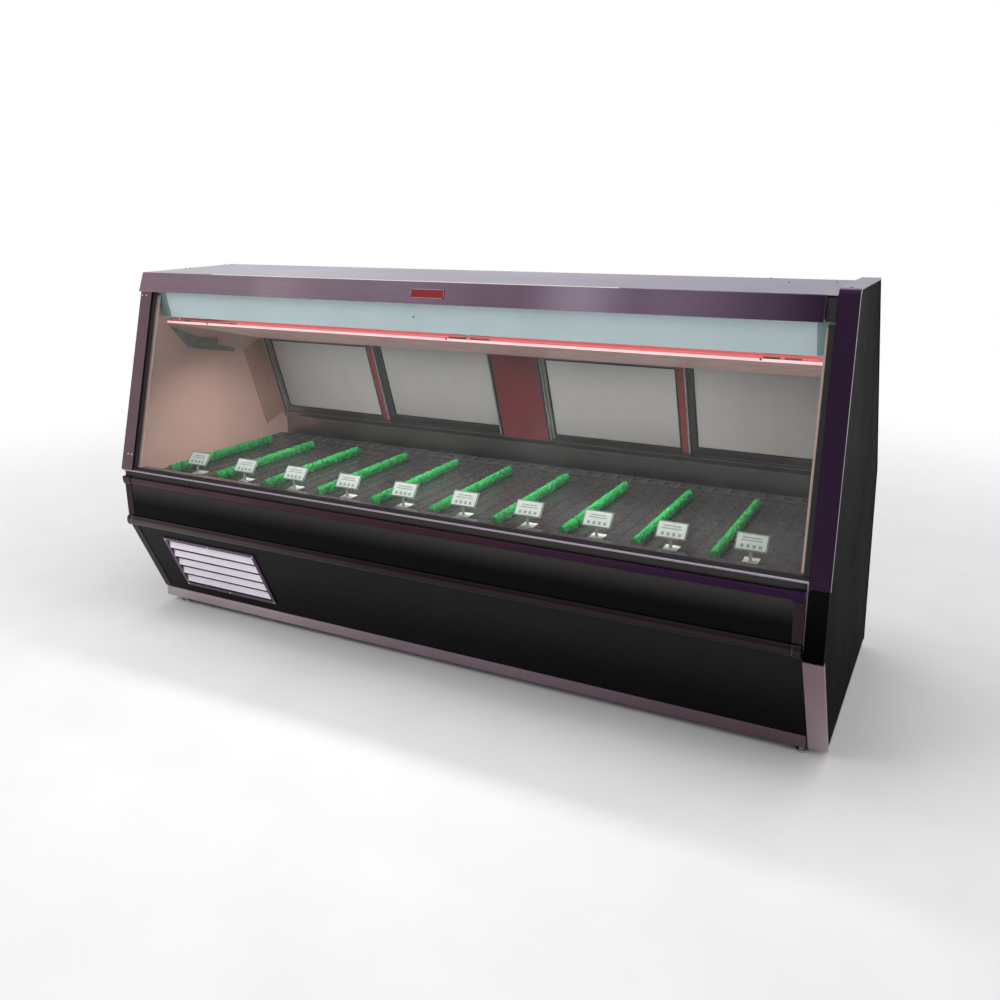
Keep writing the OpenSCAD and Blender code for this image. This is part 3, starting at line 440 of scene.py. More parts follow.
def soften(part, radius):
    """Rounds the sharp edges of a piece with a bevel. On polished trim the rounding gets a painted highlight.
    """
    if radius <= 0:
        return
    edge = part.modifiers.new("edge", "BEVEL")
    edge.width = radius * MM
    edge.segments = 3 if radius > 2 else 2
    edge.limit_method = "ANGLE"
    edge.angle_limit = math.radians(38)
    edge.use_clamp_overlap = True
    if part.name in GLINT_OF:
        part.data.materials.append(looks[GLINT_OF[part.name]])
        edge.material = 1


def dress(node, look):
    """Gives a CAD node its material and softens its edges."""
    part = nodes[node]
    part.data.materials.clear()
    part.data.materials.append(looks[look])
    weld = part.modifiers.new("weld", "WELD")
    weld.merge_threshold = 0.00001
    soften(part, EDGE_RADIUS.get(node, DEFAULT_EDGE))


for look, names in LOOK_OF.items():
    for name in names.split():
        dress(name, look)


# ---------------------------------------------------------------- mesh helpers
def piece(name, mesh_kit, look, body=CASE, edge=0.4):
    """Turns a bmesh into a finished piece that rides on a body."""
    bmesh.ops.recalc_face_normals(mesh_kit, faces=mesh_kit.faces)
    mesh = bpy.data.meshes.new(name)
    mesh_kit.to_mesh(mesh)
    mesh_kit.free()
    mesh.materials.append(looks[look])
    made = bpy.data.objects.new(name, mesh)
    bpy.context.scene.collection.objects.link(made)
    soften(made, edge)
    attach(made, body)
    return made


def cuboid(kit, low, high, turn=Matrix.Identity(4)):
    """A box between two corners, given in the frame of turn."""
    low, high = Vector(low), Vector(high)
    made = bmesh.ops.create_cube(kit, size=1.0)["verts"]
    middle = (low + high) / 2
    span = high - low
    for vert in made:
        vert.co = turn @ (middle + Vector(c * s for c, s in zip(vert.co, span)))


def lathe(kit, profile, seat, steps=32):
    """A turned shape. profile is [radius, height] along the Z axis of seat, from one end to the other."""
    rings = []
    for radius, height in profile:
        if radius < 1e-6:
            rings.append([kit.verts.new(seat @ Vector((0, 0, height)))])
            continue
        ring = []
        for index in range(steps):
            angle = 2 * math.pi * index / steps
            ring.append(kit.verts.new(seat @ Vector((radius * math.cos(angle), radius * math.sin(angle),
                                                     height))))
        rings.append(ring)
    for first, second in zip(rings, rings[1:]):
        for index in range(steps):
            following = (index + 1) % steps
            if len(first) == 1 and len(second) == 1:
                continue
            if len(first) == 1:
                corners = [first[0], second[index], second[following]]
            elif len(second) == 1:
                corners = [first[index], second[0], first[following]]
            else:
                corners = [first[index], second[index], second[following], first[following]]
            kit.faces.new(corners)


def block(name, low, high, look, body=CASE, edge=0.4, turn=Matrix.Identity(4)):
    """A piece that is one box."""
    kit = bmesh.new()
    cuboid(kit, low, high, turn)
    piece(name, kit, look, body, edge)


def turned(name, profile, seat, look, steps):
    """A piece that is one turned shape."""
    kit = bmesh.new()
    lathe(kit, profile, seat, steps)
    piece(name, kit, look, edge=0)


def plate(kit, seat, width, height, thick, radius, steps=6):
    """A plate with round corners, centred on seat and standing out along its Z axis."""
    outline = []
    for quarter in range(4):
        cx = (width / 2 - radius) * (1 if quarter in (0, 3) else -1)
        cy = (height / 2 - radius) * (1 if quarter in (0, 1) else -1)
        for index in range(steps + 1):
            angle = math.pi / 2 * (quarter + index / steps)
            outline.append((cx + radius * math.cos(angle), cy + radius * math.sin(angle)))
    low = [kit.verts.new(seat @ Vector((x, y, 0))) for x, y in outline]
    high = [kit.verts.new(seat @ Vector((x, y, thick))) for x, y in outline]
    kit.faces.new(high)
    kit.faces.new(list(reversed(low)))
    for index in range(len(outline)):
        following = (index + 1) % len(outline)
        kit.faces.new([low[index], low[following], high[following], high[index]])


def tube(name, points, radius, look):
    """A round cord or wire through points, with smooth bends."""
    path = bpy.data.curves.new(name, "CURVE")
    path.dimensions = "3D"
    path.bevel_depth = radius
    path.bevel_resolution = 4
    path.use_fill_caps = True
    line = path.splines.new("NURBS")
    line.points.add(len(points) - 1)
    for point, spot in zip(line.points, points):
        point.co = (*spot, 1.0)
    line.order_u = 3
    line.use_endpoint_u = True
    path.materials.append(looks[look])
    made = bpy.data.objects.new(name, path)
    bpy.context.scene.collection.objects.link(made)
    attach(made, CASE)


def facing(spot, normal, up=(0, 0, 1)):
    """A frame at spot whose Z axis is normal and whose Y axis leans towards up."""
    out = Vector(normal).normalized()
    right = Vector(up).cross(out).normalized()
    rise = out.cross(right)
    turn = Matrix((right, rise, out)).transposed().to_4x4()
    return Matrix.Translation(Vector(spot)) @ turn


def screw_head(kit, seat, radius):
    """A domed screw head with a cross recess."""
    dome = [(0, 0.42 * radius), (0.45 * radius, 0.38 * radius), (0.8 * radius, 0.24 * radius),
            (radius, 0.05 * radius), (radius, -0.1 * radius), (0, -0.1 * radius)]
    lathe(kit, dome, seat, 20)
    for turn in (0, math.pi / 2):
        bar = seat @ Matrix.Rotation(turn + 0.4, 4, "Z")
        cuboid(kit, (-0.6 * radius, -0.09 * radius, 0.36 * radius),
               (0.6 * radius, 0.09 * radius, 0.45 * radius), bar)


# ---------------------------------------------------------------- places on the case
def corner_high(node):
    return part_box(node)[1]


DOOR_LEAN = math.radians(19.5)
SILL_Y = 0.373
SILL_Z = 0.655
REAR = Matrix.Translation((0, SILL_Y, SILL_Z)) @ Matrix.Rotation(DOOR_LEAN, 4, "X")
REAR_TURN = REAR.to_3x3()
REAR_UP = REAR_TURN @ Vector((0, 0, 1))
DOOR_H = 0.398
DOOR_FOOT = -0.008
DOOR_T = 0.012
INNER_DOOR_Y, OUTER_DOOR_Y = 0.006, 0.024
STILE = 0.034
SEAL_HEAD = 0.362

fascia_low, fascia_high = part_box("front_fascia")
FASCIA_RUN, FASCIA_RISE = 0.0255, 0.069
end_x = corner_high("end_liners").x
FRONT_Y = -0.515
TUBE_GAP = (0.098, 0.102)

# Lamp clips along the row, as (start, length)
DARK_CLIPS = ((-1.116, 0.023), (-0.892, 0.010), (-0.877, 0.010), (0.028, 0.064), (1.025, 0.046))
RED_CLIPS = ((0.105, 0.072), (1.082, 0.046))


def glass_line(z):
    """Y of the outer face of the front glass at height z."""
    low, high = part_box("front_glass")
    thick = 0.006
    part = (z - low.z) / (high.z - low.z)
    return low.y + part * (high.y - thick - low.y)


# ---------------------------------------------------------------- front of the case
def badge():
    """A plain enamel plate with a raised rim on the fascia, with no lettering."""
    width, height, centre_x, middle_z = 0.123, 0.030, -0.011, 1.2695
    part = (middle_z - fascia_low.z) / (fascia_high.z - fascia_low.z)
    spot = Vector((centre_x, fascia_low.y + part * FASCIA_RUN - 0.0004, middle_z))
    seat = facing(spot, (0, -FASCIA_RISE, FASCIA_RUN))
    kit = bmesh.new()
    plate(kit, seat, width, height, 0.0016, 0.004)
    piece("badge_plate", kit, "red_enamel", edge=0.5)
    kit = bmesh.new()
    rim, corners = 0.0012, 0.008
    wide, tall = width - corners, height - corners
    for x, y, w, h in ((0, height / 2 - rim, wide, rim), (0, rim - height / 2, wide, rim),
                       (width / 2 - rim, 0, rim, tall), (rim - width / 2, 0, rim, tall)):
        cuboid(kit, (x - w / 2, y - h / 2, 0.0014), (x + w / 2, y + h / 2, 0.0024), seat)
    piece("badge_rim", kit, "chrome", edge=0.2)


def fascia_bead_highlight():
    """The folded bead along the top edge of the fascia, bright with a painted highlight that glows."""
    left, right = -0.92, 0.62
    block("fascia_bead_glow", (left, fascia_high.y - 0.0064, fascia_high.z - 0.0012),
          (right, fascia_high.y - 0.0038, fascia_high.z + 0.0006), "bead_painted_glow", edge=0.5)


def dividers():
    """Leafy garnish strips: rows of small ruffled leaves over a rounded core."""
    low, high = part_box("dividers")
    pitch, half = 0.230, 0.0125
    across, stations, leaves = 12, 72, 300
    length = high.y - low.y
    count = round((high.x - low.x - 2 * half) / pitch) + 1
    kit = bmesh.new()
    for index in range(count):
        centre = low.x + half + 0.0005 + index * (high.x - low.x - 2 * half) / (count - 1)
        core = []
        for step in range(stations + 1):
            y = low.y + length * step / stations
            row = []
            swell = 1 + 0.14 * math.sin(step * 1.7 + index) + random.uniform(-0.1, 0.1)
            for turn in range(across + 1):
                angle = math.pi * turn / across
                ruffle = swell + random.uniform(-0.16, 0.16)
                x = centre + half * 0.92 * math.cos(angle) * ruffle
                z = low.z + 0.003 + (high.z - low.z - 0.010) * math.sin(angle) ** 0.6 * min(ruffle, 1.08)
                row.append(kit.verts.new((x, y, min(z, high.z))))
            core.append(row)
        for first, second in zip(core, core[1:]):
            for turn in range(across):
                kit.faces.new((first[turn], first[turn + 1], second[turn + 1], second[turn]))
            kit.faces.new((first[across], first[0], second[0], second[across]))
        kit.faces.new(core[0])
        kit.faces.new(list(reversed(core[-1])))
        for _ in range(leaves):
            y = random.uniform(low.y + 0.004, high.y - 0.004)
            angle = random.uniform(0.1, math.pi - 0.1)
            root = Vector((centre + half * 0.75 * math.cos(angle), y,
                           low.z + 0.006 + (high.z - low.z - 0.016) * math.sin(angle) ** 0.6))
            out = Vector((math.cos(angle), random.uniform(-0.8, 0.8), math.sin(angle) + 0.2)).normalized()
            seat = facing(root, out, (0, 1, 0.2)) @ Matrix.Rotation(random.uniform(0, 6.28), 4, "Z")
            size = random.uniform(0.0035, 0.0055)
            lobes = [(0, -0.3), (0.8, 0.1), (0.5, 0.6), (0, 1.0), (-0.5, 0.6), (-0.8, 0.1)]
            under = [kit.verts.new(seat @ Vector((x * size, z * size, 0.001))) for x, z in lobes]
            over = [kit.verts.new(seat @ Vector((x * size, z * size, 0.0022 + 0.0012 * abs(x))))
                    for x, z in lobes]
            kit.faces.new(over)
            kit.faces.new(list(reversed(under)))
            for side in range(len(lobes)):
                following = (side + 1) % len(lobes)
                kit.faces.new((under[side], under[following], over[following], over[side]))
    for vert in kit.verts:
        vert.co.x = min(max(vert.co.x, cad_low.x), cad_high.x)
        vert.co.z = min(max(vert.co.z, low.z), high.z + 0.004)
    made = piece("garnish_dividers", kit, "leaf", edge=0)
    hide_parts("dividers")


def ticket_faces():
    """Card faces in a dark rim, with plain rule lines and no letters."""
    low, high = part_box("ticket_holders")
    width, tall, lean = 0.092, 0.054, math.radians(38)
    count = 10
    first = low.x + width / 2
    pitch = (high.x - low.x - width) / (count - 1)
    rims, cards, marks = bmesh.new(), bmesh.new(), bmesh.new()
    top_y = FRONT_Y + 0.176 + 0.002
    for index in range(count):
        seat = (Matrix.Translation((first + index * pitch, top_y, low.z + 0.038))
                @ Matrix.Rotation(-lean, 4, "X"))
        face = seat @ Matrix.Translation((0, -0.0002, -0.006 + tall / 2)) @ Matrix.Rotation(
            math.radians(90), 4, "X")
        plate(rims, face, width, tall, 0.0010, 0.004)
        plate(cards, face @ Matrix.Translation((0, 0, 0.0009)), width - 0.008, tall - 0.008, 0.0008, 0.002)
        for rise, length, thick in ((0.012, 0.052, 0.0016), (0.004, 0.060, 0.0014)):
            cuboid(marks, (-length / 2, rise - thick, 0.0016), (length / 2, rise + thick, 0.0019), face)
        for step in range(4):
            left = -0.030 + step * 0.017
            cuboid(marks, (left, -0.018, 0.0016), (left + 0.009, -0.008, 0.0019), face)
    piece("ticket_rims", rims, "card_edge", edge=0.3)
    piece("ticket_cards", cards, "card", edge=0.2)
    piece("ticket_marks", marks, "card_mark", edge=0.1)


def glass_head_seal():
    """Dark seal along the head of the glass."""
    head = corner_high("front_glass").z
    y = glass_line(head)
    side = end_x - 0.056
    block("glass_head_seal", (-side, y - 0.0006, head - 0.004), (side, y + 0.0068, head + 0.0004),
          "rubber", edge=0.3)


def cap_rivet():
    """Rivet on the right end cap."""
    cap_x, cap_y = 1.243, -0.284
    seat = facing((cap_x, cap_y, cad_high.z + 0.0003), (0, 0, 1), (0, 1, 0))
    turned("cap_rivet", [(0, 0.0008), (0.004, 0.0006), (0.0052, -0.0004), (0, -0.0006)], seat,
           "black_gloss", 20)


def apron_and_lip():
    """The rosy lip, which glows with painted lamp light, its screws, the lamp clips' skirts and dark plates
    at the apron's ends, which are painted shade.
    """
    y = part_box("canopy_soffit")[0].y
    inside, dim_x = 1.213, -0.885
    foot_z, split_z, head_z = 1.1150, 1.1232, 1.1290
    # Painted lamp light: the lip glows
    block("soffit_lip", (-inside, y - 0.0022, foot_z), (inside, y - 0.0002, split_z), "lip_glow", edge=0.6)
    for title, start, stop in (("lip_rose", dim_x, inside), ("lip_dim", -inside, dim_x)):
        block(title, (start, y - 0.0020, split_z), (stop, y - 0.0002, head_z), title, edge=0.3)
    for title, look_name, runs in (("clip_skirts_dark", "charcoal", DARK_CLIPS),
                                   ("clip_skirts_red", "clip_red", RED_CLIPS)):
        kit = bmesh.new()
        for start, length in runs:
            cuboid(kit, (start, y - 0.0034, split_z + 0.0004), (start + length, y - 0.0014, head_z + 0.0006))
        piece(title, kit, look_name, edge=0.4)
    # Painted shade: dark plates at both ends of the apron
    kit = bmesh.new()
    foot, head = Vector((0, -0.283, 1.141)), Vector((0, -0.308, 1.240))
    rise = head - foot
    for side in (-1, 1):
        seat = facing((side * 1.191, (foot.y + head.y) / 2 - 0.0003, (foot.z + head.z) / 2),
                      (0, -rise.z, rise.y), rise)
        plate(kit, seat, 0.046, 0.096, 0.0012, 0.002)
    piece("apron_end_shade", kit, "canopy_end_shade", edge=0.3)
    kit = bmesh.new()
    x, z = -0.085, 1.190
    part = (z - foot.z) / rise.z
    screw_head(kit, facing((x, foot.y + part * rise.y - 0.0002, z), (0, -rise.z, rise.y), rise), 0.0035)
    piece("apron_screw", kit, "rubber", edge=0)
    kit = bmesh.new()
    for x in (-1.010, 0.018, 1.018):
        screw_head(kit, facing((x, y - 0.0024, 1.121), (0, -1, 0)), 0.0036)
    piece("lip_screws", kit, "clip_red", edge=0)


def lamp_ends():
    """End caps, pins and the red-lit saddle covers of the two tubes."""
    low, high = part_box("lamp_tubes")
    centre_y, centre_z = (low.y + high.y) / 2, (low.z + high.z) / 2
    caps, pins = bmesh.new(), bmesh.new()
    radius = (high.z - low.z) / 2
    for x, out in ((low.x, -1), (TUBE_GAP[0], 1), (TUBE_GAP[1], -1), (high.x, 1)):
        seat = facing((x - out * 0.016, centre_y, centre_z), (out, 0, 0))
        profile = [(0, -0.001), (radius + 0.0006, -0.001), (radius + 0.0006, 0.010), (radius - 0.001, 0.0152),
                   (0, 0.0156)]
        lathe(caps, profile, seat, 28)
    pin_spacing = 0.0063
    for x in (low.x - 0.002, high.x + 0.002):
        for side in (-pin_spacing, pin_spacing):
            seat = facing((x - 0.004, centre_y, centre_z + side), (1, 0, 0))
            lathe(pins, [(0, 0), (0.0012, 0), (0.0012, 0.007), (0.0006, 0.0082), (0, 0.0084)], seat, 12)
    piece("lamp_caps", caps, "zinc", edge=0)
    piece("lamp_pins", pins, "copper", edge=0)
    covers = bmesh.new()
    for start, length in RED_CLIPS:
        cuboid(covers, (start + 0.001, centre_y - 0.0168, centre_z + 0.003),
               (start + length - 0.001, centre_y - 0.0152, centre_z + 0.0175))
    piece("clip_covers", covers, "clip_red", edge=0.4)


# ---------------------------------------------------------------- rear doors
def on_rear(x, y, z):
    return REAR @ Vector((x, y, z))


def jamb_trim():
    """Seals in several colours down both jambs and both sides of the mullion, and their screws."""
    stripes = {"navy_seal": (0.0015, 0.0085), "grey_seal": (0.0095, 0.0135)}
    jamb_x = 1.206
    mullion_x = 0.097
    foot = 0.006
    for look_name, (start, stop) in stripes.items():
        kit = bmesh.new()
        for side in (-1, 1):
            for edge_x in (jamb_x - 0.008, mullion_x):
                near, far = edge_x + start, edge_x + stop
                if edge_x > 1:
                    near, far = edge_x - stop, edge_x - start
                low_x, high_x = sorted((side * near, side * far))
                cuboid(kit, (low_x, -0.0052, foot), (high_x, -0.0004, SEAL_HEAD), REAR)
        piece("seal_" + look_name.split("_")[0], kit, look_name, edge=0.4)
    kit = bmesh.new()
    inward = REAR_TURN @ Vector((0, -1, 0))
    for x in (-0.034, 0.034):
        for z in (0.06, 0.195, 0.320):
            screw_head(kit, facing(on_rear(x, -0.0032, z), inward, REAR_UP), 0.0034)
    for side in (-1, 1):
        for y, z in ((-0.030, 0.315), (-0.085, 0.270), (-0.030, 0.190), (-0.085, 0.130), (-0.030, 0.050)):
            spot = on_rear(side * (end_x - 0.0518), y, z)
            screw_head(kit, facing(spot, (-side, 0, 0)), 0.0034)
    piece("jamb_screws", kit, "charcoal", edge=0)


def door_trim(number):
    """Seal strips, glazing beads, a pull lining and screws on one sliding door. They ride with it."""
    body = f"door_{number}"
    left, right = (corner.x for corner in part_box(f"{body}_frame"))
    inner = number in (1, 3)
    y0 = INNER_DOOR_Y if inner else OUTER_DOOR_Y
    foot = 0.012
    # Coloured seal strips on the stiles: (look, left edge of the stile, first mm, last mm)
    if inner:
        strips = [("red_seal", right - STILE, 4, 26), ("grey_seal", right - STILE, 27, 33)]
        first = "pink_seal" if number == 1 else "red_seal"
        strips += [("navy_seal", left, 1, 7), (first, left, 9, 20), ("green_grey", left, 22, 32)]
    else:
        strips = [("charcoal", left, 17, 32)]
    for index, (look_name, origin, start, stop) in enumerate(strips):
        block(f"{body}_strip_{index + 1}", (origin + start * MM, y0 - 0.0018, foot),
              (origin + stop * MM, y0 - 0.0002, SEAL_HEAD), look_name, body, 0.4, REAR)
    # Glazing bead round the pane, on both faces
    kit = bmesh.new()
    bead = 0.005
    z0, z1 = DOOR_FOOT + STILE, DOOR_FOOT + DOOR_H - STILE
    x0, x1 = left + STILE, right - STILE
    for y in ((y0 + 0.0008, y0 + 0.0032), (y0 + 0.0088, y0 + 0.0112)):
        for box_low, box_high in (((x0 - 0.0004, z0), (x0 + bead, z1)), ((x1 - bead, z0), (x1 + 0.0004, z1)),
                                  ((x0, z0 - 0.0004), (x1, z0 + bead)), ((x0, z1 - bead), (x1, z1 + 0.0004))):
            cuboid(kit, (box_low[0], y[0], box_low[1]), (box_high[0], y[1], box_high[1]), REAR)
    piece(f"{body}_bead", kit, "rubber", body, 0.5)
    # Lining and lip of the finger pull, in the outer face
    kit = bmesh.new()
    pull_x = left + 0.009 if inner else right - 0.025
    z_mid = DOOR_FOOT + DOOR_H / 2
    y_face = y0 + DOOR_T
    y_in, y_out, wall, half_pull = y_face - 0.0038, y_face + 0.0007, 0.0014, 0.0596
    for x in (pull_x + 0.0004, pull_x + 0.0142):
        cuboid(kit, (x, y_in, z_mid - half_pull), (x + wall, y_out, z_mid + half_pull), REAR)
    for z in (-0.0598, 0.0584):
        cuboid(kit, (pull_x + 0.0004, y_in, z_mid + z), (pull_x + 0.0156, y_out, z_mid + z + wall), REAR)
    cuboid(kit, (pull_x + 0.001, y_face - 0.0039, z_mid - 0.059),
           (pull_x + 0.015, y_face - 0.0032, z_mid + 0.059), REAR)
    piece(f"{body}_pull", kit, "black_satin", body, 0.4)
    # Corner screws on the outer face
    kit = bmesh.new()
    outward = REAR_TURN @ Vector((0, 1, 0))
    in_x, in_z = 0.017, 0.026
    for x in (left + in_x, right - in_x):
        for z in (DOOR_FOOT + in_z, DOOR_FOOT + DOOR_H - in_z):
            screw_head(kit, facing(on_rear(x, y_face + 0.0003, z), outward, REAR_UP), 0.0036)
    piece(f"{body}_screws", kit, "chrome", body, 0)


# ---------------------------------------------------------------- deck
def deck_ribs():
    """Embossed ribs across each deck pan, so that goods stand clear of the wet floor."""
    low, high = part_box("deck_pans")
    kit = bmesh.new()
    pans, ribs = 5, 9
    pan = (high.x - low.x) / pans
    for index in range(pans):
        start = low.x + index * pan + 0.040
        for rib in range(ribs):
            x = start + rib * (pan - 0.080) / (ribs - 1)
            cuboid(kit, (x - 0.003, low.y + 0.030, high.z - 0.0034),
                   (x + 0.003, high.y - 0.030, high.z - 0.0016))
    piece("pan_ribs", kit, "pan_black", edge=0.8)


# ---------------------------------------------------------------- grille, back and machinery
def grille_screws():
    """Screws along the top and the foot of the louvre frame."""
    low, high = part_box("grille_frame")
    face_low, face_high = Vector((0, FRONT_Y + 0.200, 0.064)), Vector((0, FRONT_Y + 0.053, 0.368))
    run = face_low - face_high
    normal = Vector((0, run.z, -run.y)).normalized()
    kit = bmesh.new()
    for x in (low.x + 0.007, (low.x + high.x) / 2, high.x - 0.007):
        for z in (low.z + 0.009, high.z - 0.009):
            part = (z - face_high.z) / run.z
            spot = Vector((x, face_high.y + part * run.y, z)) + normal * 0.0053
            screw_head(kit, facing(spot, normal), 0.0034)
    piece("grille_screws", kit, "chrome", edge=0)


def louvre_hoods():
    """Pressed hoods over the slots of the rear panel, and the panel's screws."""
    low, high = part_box("rear_panel")
    kit = bmesh.new()
    rows, width, lowest, pitch = 6, 0.200, 0.130, 0.034
    for row in range(rows):
        z = lowest + row * pitch
        for x in (-1.100, -0.840):
            tilt = Matrix.Translation((x, high.y, z + 0.0125)) @ Matrix.Rotation(math.radians(-32), 4, "X")
            cuboid(kit, (0.002, -0.0004, -0.0165), (width - 0.002, 0.0011, 0.001), tilt)
            for end in (0.0, width - 0.0014):
                cuboid(kit, (end, -0.0003, -0.0145), (end + 0.0014, 0.0045, 0.001), tilt)
    piece("louvre_hoods", kit, "black_satin", edge=0.4)
    kit = bmesh.new()
    for x in (-1.19, -0.6, 0.0, 0.6, 1.19):
        for z in (low.z + 0.016, high.z - 0.016):
            screw_head(kit, facing((x, high.y + 0.0003, z), (0, 1, 0)), 0.0042)
    piece("rear_panel_screws", kit, "chrome", edge=0)


def control_face():
    """Dial ticks round the thermostat knob, its pointer, and the switch surround."""
    knob_low, knob_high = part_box("thermostat_knob")
    centre = (knob_low + knob_high) / 2
    plate_y = knob_low.y - 0.001
    kit = bmesh.new()
    ticks = 11
    for index in range(ticks):
        angle = math.radians(225 - 270 * index / (ticks - 1))
        seat = (facing((centre.x, plate_y + 0.0001, centre.z), (0, 1, 0))
                @ Matrix.Rotation(angle, 4, "Z"))
        length = 0.006 if index % 5 == 0 else 0.0038
        cuboid(kit, (0.0215, -0.0005, 0), (0.0215 + length, 0.0005, 0.0004), seat)
    piece("dial_ticks", kit, "white_mark", edge=0.05)
    spot = Vector((centre.x, knob_high.y + 0.0001, centre.z))
    block("knob_pointer", (spot.x - 0.0007, spot.y - 0.0003, spot.z - 0.0155),
          (spot.x + 0.0007, spot.y + 0.0004, spot.z - 0.003), "white_mark", "thermostat_knob", 0.1)
    switch_low, switch_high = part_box("light_switch")
    middle = (switch_low + switch_high) / 2
    kit = bmesh.new()
    half_w, half_h, rim = 0.0125, 0.0175, 0.0022
    for x0, x1, z0, z1 in ((-half_w, half_w, half_h - rim, half_h), (-half_w, half_w, -half_h, rim - half_h),
                           (-half_w, rim - half_w, -half_h, half_h), (half_w - rim, half_w, -half_h, half_h)):
        cuboid(kit, (middle.x + x0, plate_y - 0.0002, middle.z + z0),
               (middle.x + x1, plate_y + 0.0016, middle.z + z1))
    piece("switch_surround", kit, "rubber", edge=0.3)


def gauge():
    """Round dial thermometer with ticks and a needle, set in the head of the rear panel."""
    high = corner_high("rear_panel")
    gauge_x, gauge_z = 0.760, 0.560
    seat = facing((gauge_x, high.y + 0.0002, gauge_z), (0, 1, 0))
    turned("gauge_case", [(0, 0.0008), (0.023, 0.0008), (0.0236, 0.004), (0.027, 0.0048), (0.0282, 0.003),
                          (0.0282, 0), (0, -0.0002)], seat, "chrome", 40)
    turned("gauge_face", [(0, 0.0018), (0.0225, 0.0018), (0.0225, 0.0010), (0, 0.0010)], seat,
           "white_mark", 40)
    kit = bmesh.new()
    for index in range(13):
        spin = seat @ Matrix.Rotation(math.radians(210 - index * 20), 4, "Z")
        cuboid(kit, (0.0165, -0.0004, 0.0018), (0.0205, 0.0004, 0.0021), spin)
    needle = seat @ Matrix.Rotation(math.radians(118), 4, "Z")
    cuboid(kit, (-0.004, -0.0006, 0.0021), (0.0155, 0.0006, 0.0026), needle)
    piece("gauge_marks", kit, "rubber", edge=0.1)


def power_cord():
    """Cord from the lower rear panel, held in a strain relief, with its plug at the end."""
    high = corner_high("rear_panel")
    y = high.y + 0.0075
    grip_x, plug_x, outlet_z = 1.120, 1.012, 0.110
    spots = [(grip_x, high.y - 0.004, outlet_z), (grip_x, y, 0.109), (1.119, y, 0.090), (1.105, y, 0.072),
             (1.060, y, 0.068), (1.020, y, 0.090), (plug_x, y, 0.130), (plug_x, y, 0.180)]
    tube("power_cord", spots, 0.0042, "rubber")
    turned("cord_grip", [(0, -0.002), (0.011, -0.002), (0.011, 0.003), (0.0075, 0.0045), (0.0062, 0.009),
                         (0, 0.0092)], facing((grip_x, high.y, outlet_z), (0, 1, 0)), "rubber", 24)
    turned("plug_body", [(0, -0.002), (0.0055, 0.0), (0.0068, 0.012), (0.0085, 0.018), (0.0085, 0.034),
                         (0, 0.0345)], facing((plug_x, y, 0.176), (0, 0, 1), (0, 1, 0)), "rubber", 28)
    kit = bmesh.new()
    for x in (-0.0045, 0.0045):
        cuboid(kit, (plug_x + x - 0.0008, y - 0.0028, 0.209), (plug_x + x + 0.0008, y + 0.0028, 0.226))
    piece("plug_blades", kit, "copper", edge=0.2)


def coil_fins(name, node, count):
    """Thin fins across a coil block, standing just proud of it."""
    low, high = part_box(node)
    if node == "condenser":
        high = Vector((high.x, low.y + 0.052, high.z))
    else:
        low = Vector((low.x + 0.040, low.y + 0.006, 0.452))
        high = Vector((high.x - 0.040, high.y - 0.006, 0.532))
    kit = bmesh.new()
    for index in range(count):
        x = low.x + 0.004 + index * (high.x - low.x - 0.008) / (count - 1)
        cuboid(kit, (x - 0.0004, low.y - 0.0022, low.z + 0.003),
               (x + 0.0004, high.y + 0.0018, high.z + 0.0012))
    piece(name, kit, "fins", edge=0)


def fan_guards():
    """Wire rings and spokes in front of the two evaporator fans."""
    kit = bmesh.new()
    for body in ("evap_fan_left", "evap_fan_right"):
        low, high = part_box(body)
        centre = (low + high) / 2
        seat = facing((centre.x, low.y - 0.006, centre.z), (0, -1, 0))
        for radius in (0.016, 0.031, 0.045):
            wire = 0.0012
            ring = [(radius - wire, -wire), (radius + wire, -wire), (radius + wire, wire),
                    (radius - wire, wire), (radius - wire, -wire)]
            lathe(kit, ring, seat, 36)
        for spoke in range(6):
            spin = seat @ Matrix.Rotation(spoke * math.pi / 3, 4, "Z")
            cuboid(kit, (0.014, -0.001, -0.0008), (0.050, 0.001, 0.0008), spin)
    bmesh.ops.remove_doubles(kit, verts=kit.verts, dist=1e-7)
    piece("fan_guards", kit, "chrome", edge=0)


def compressor_fittings():
    """Stub pipes and mounting bolts on the compressor."""
    low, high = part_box("compressor")
    centre = Vector(((low.x + high.x) / 2 - 0.005, (low.y + high.y) / 2, 0))
    kit = bmesh.new()
    for x in (-0.086, 0.086):
        for y in (-0.056, 0.056):
            seat = Matrix.Translation((centre.x + x, centre.y + y, low.z + 0.018))
            lathe(kit, [(0, 0), (0.009, 0), (0.009, 0.004), (0.0045, 0.0042), (0.0045, 0.012), (0, 0.0125)],
                  seat, 6)
    piece("compressor_bolts", kit, "zinc", edge=0.2)
    for index, side in enumerate((-1, 1)):
        foot = (centre.x + side * 0.045, centre.y + 0.060, 0.150)
        tube(f"compressor_stub_{index + 1}",
             [foot, (foot[0], foot[1] + 0.030, 0.150), (foot[0] + side * 0.02, foot[1] + 0.050, 0.165),
              (foot[0] + side * 0.02, foot[1] + 0.055, 0.235)], 0.004, "copper")


badge()
fascia_bead_highlight()
dividers()
ticket_faces()
glass_head_seal()
cap_rivet()
apron_and_lip()
lamp_ends()
jamb_trim()
for number in (1, 2, 3, 4):
    door_trim(number)
deck_ribs()
grille_screws()
louvre_hoods()
control_face()
gauge()
power_cord()
coil_fins("evaporator_fins", "evaporator", 240)
coil_fins("condenser_fins", "condenser", 120)
fan_guards()
compressor_fittings()


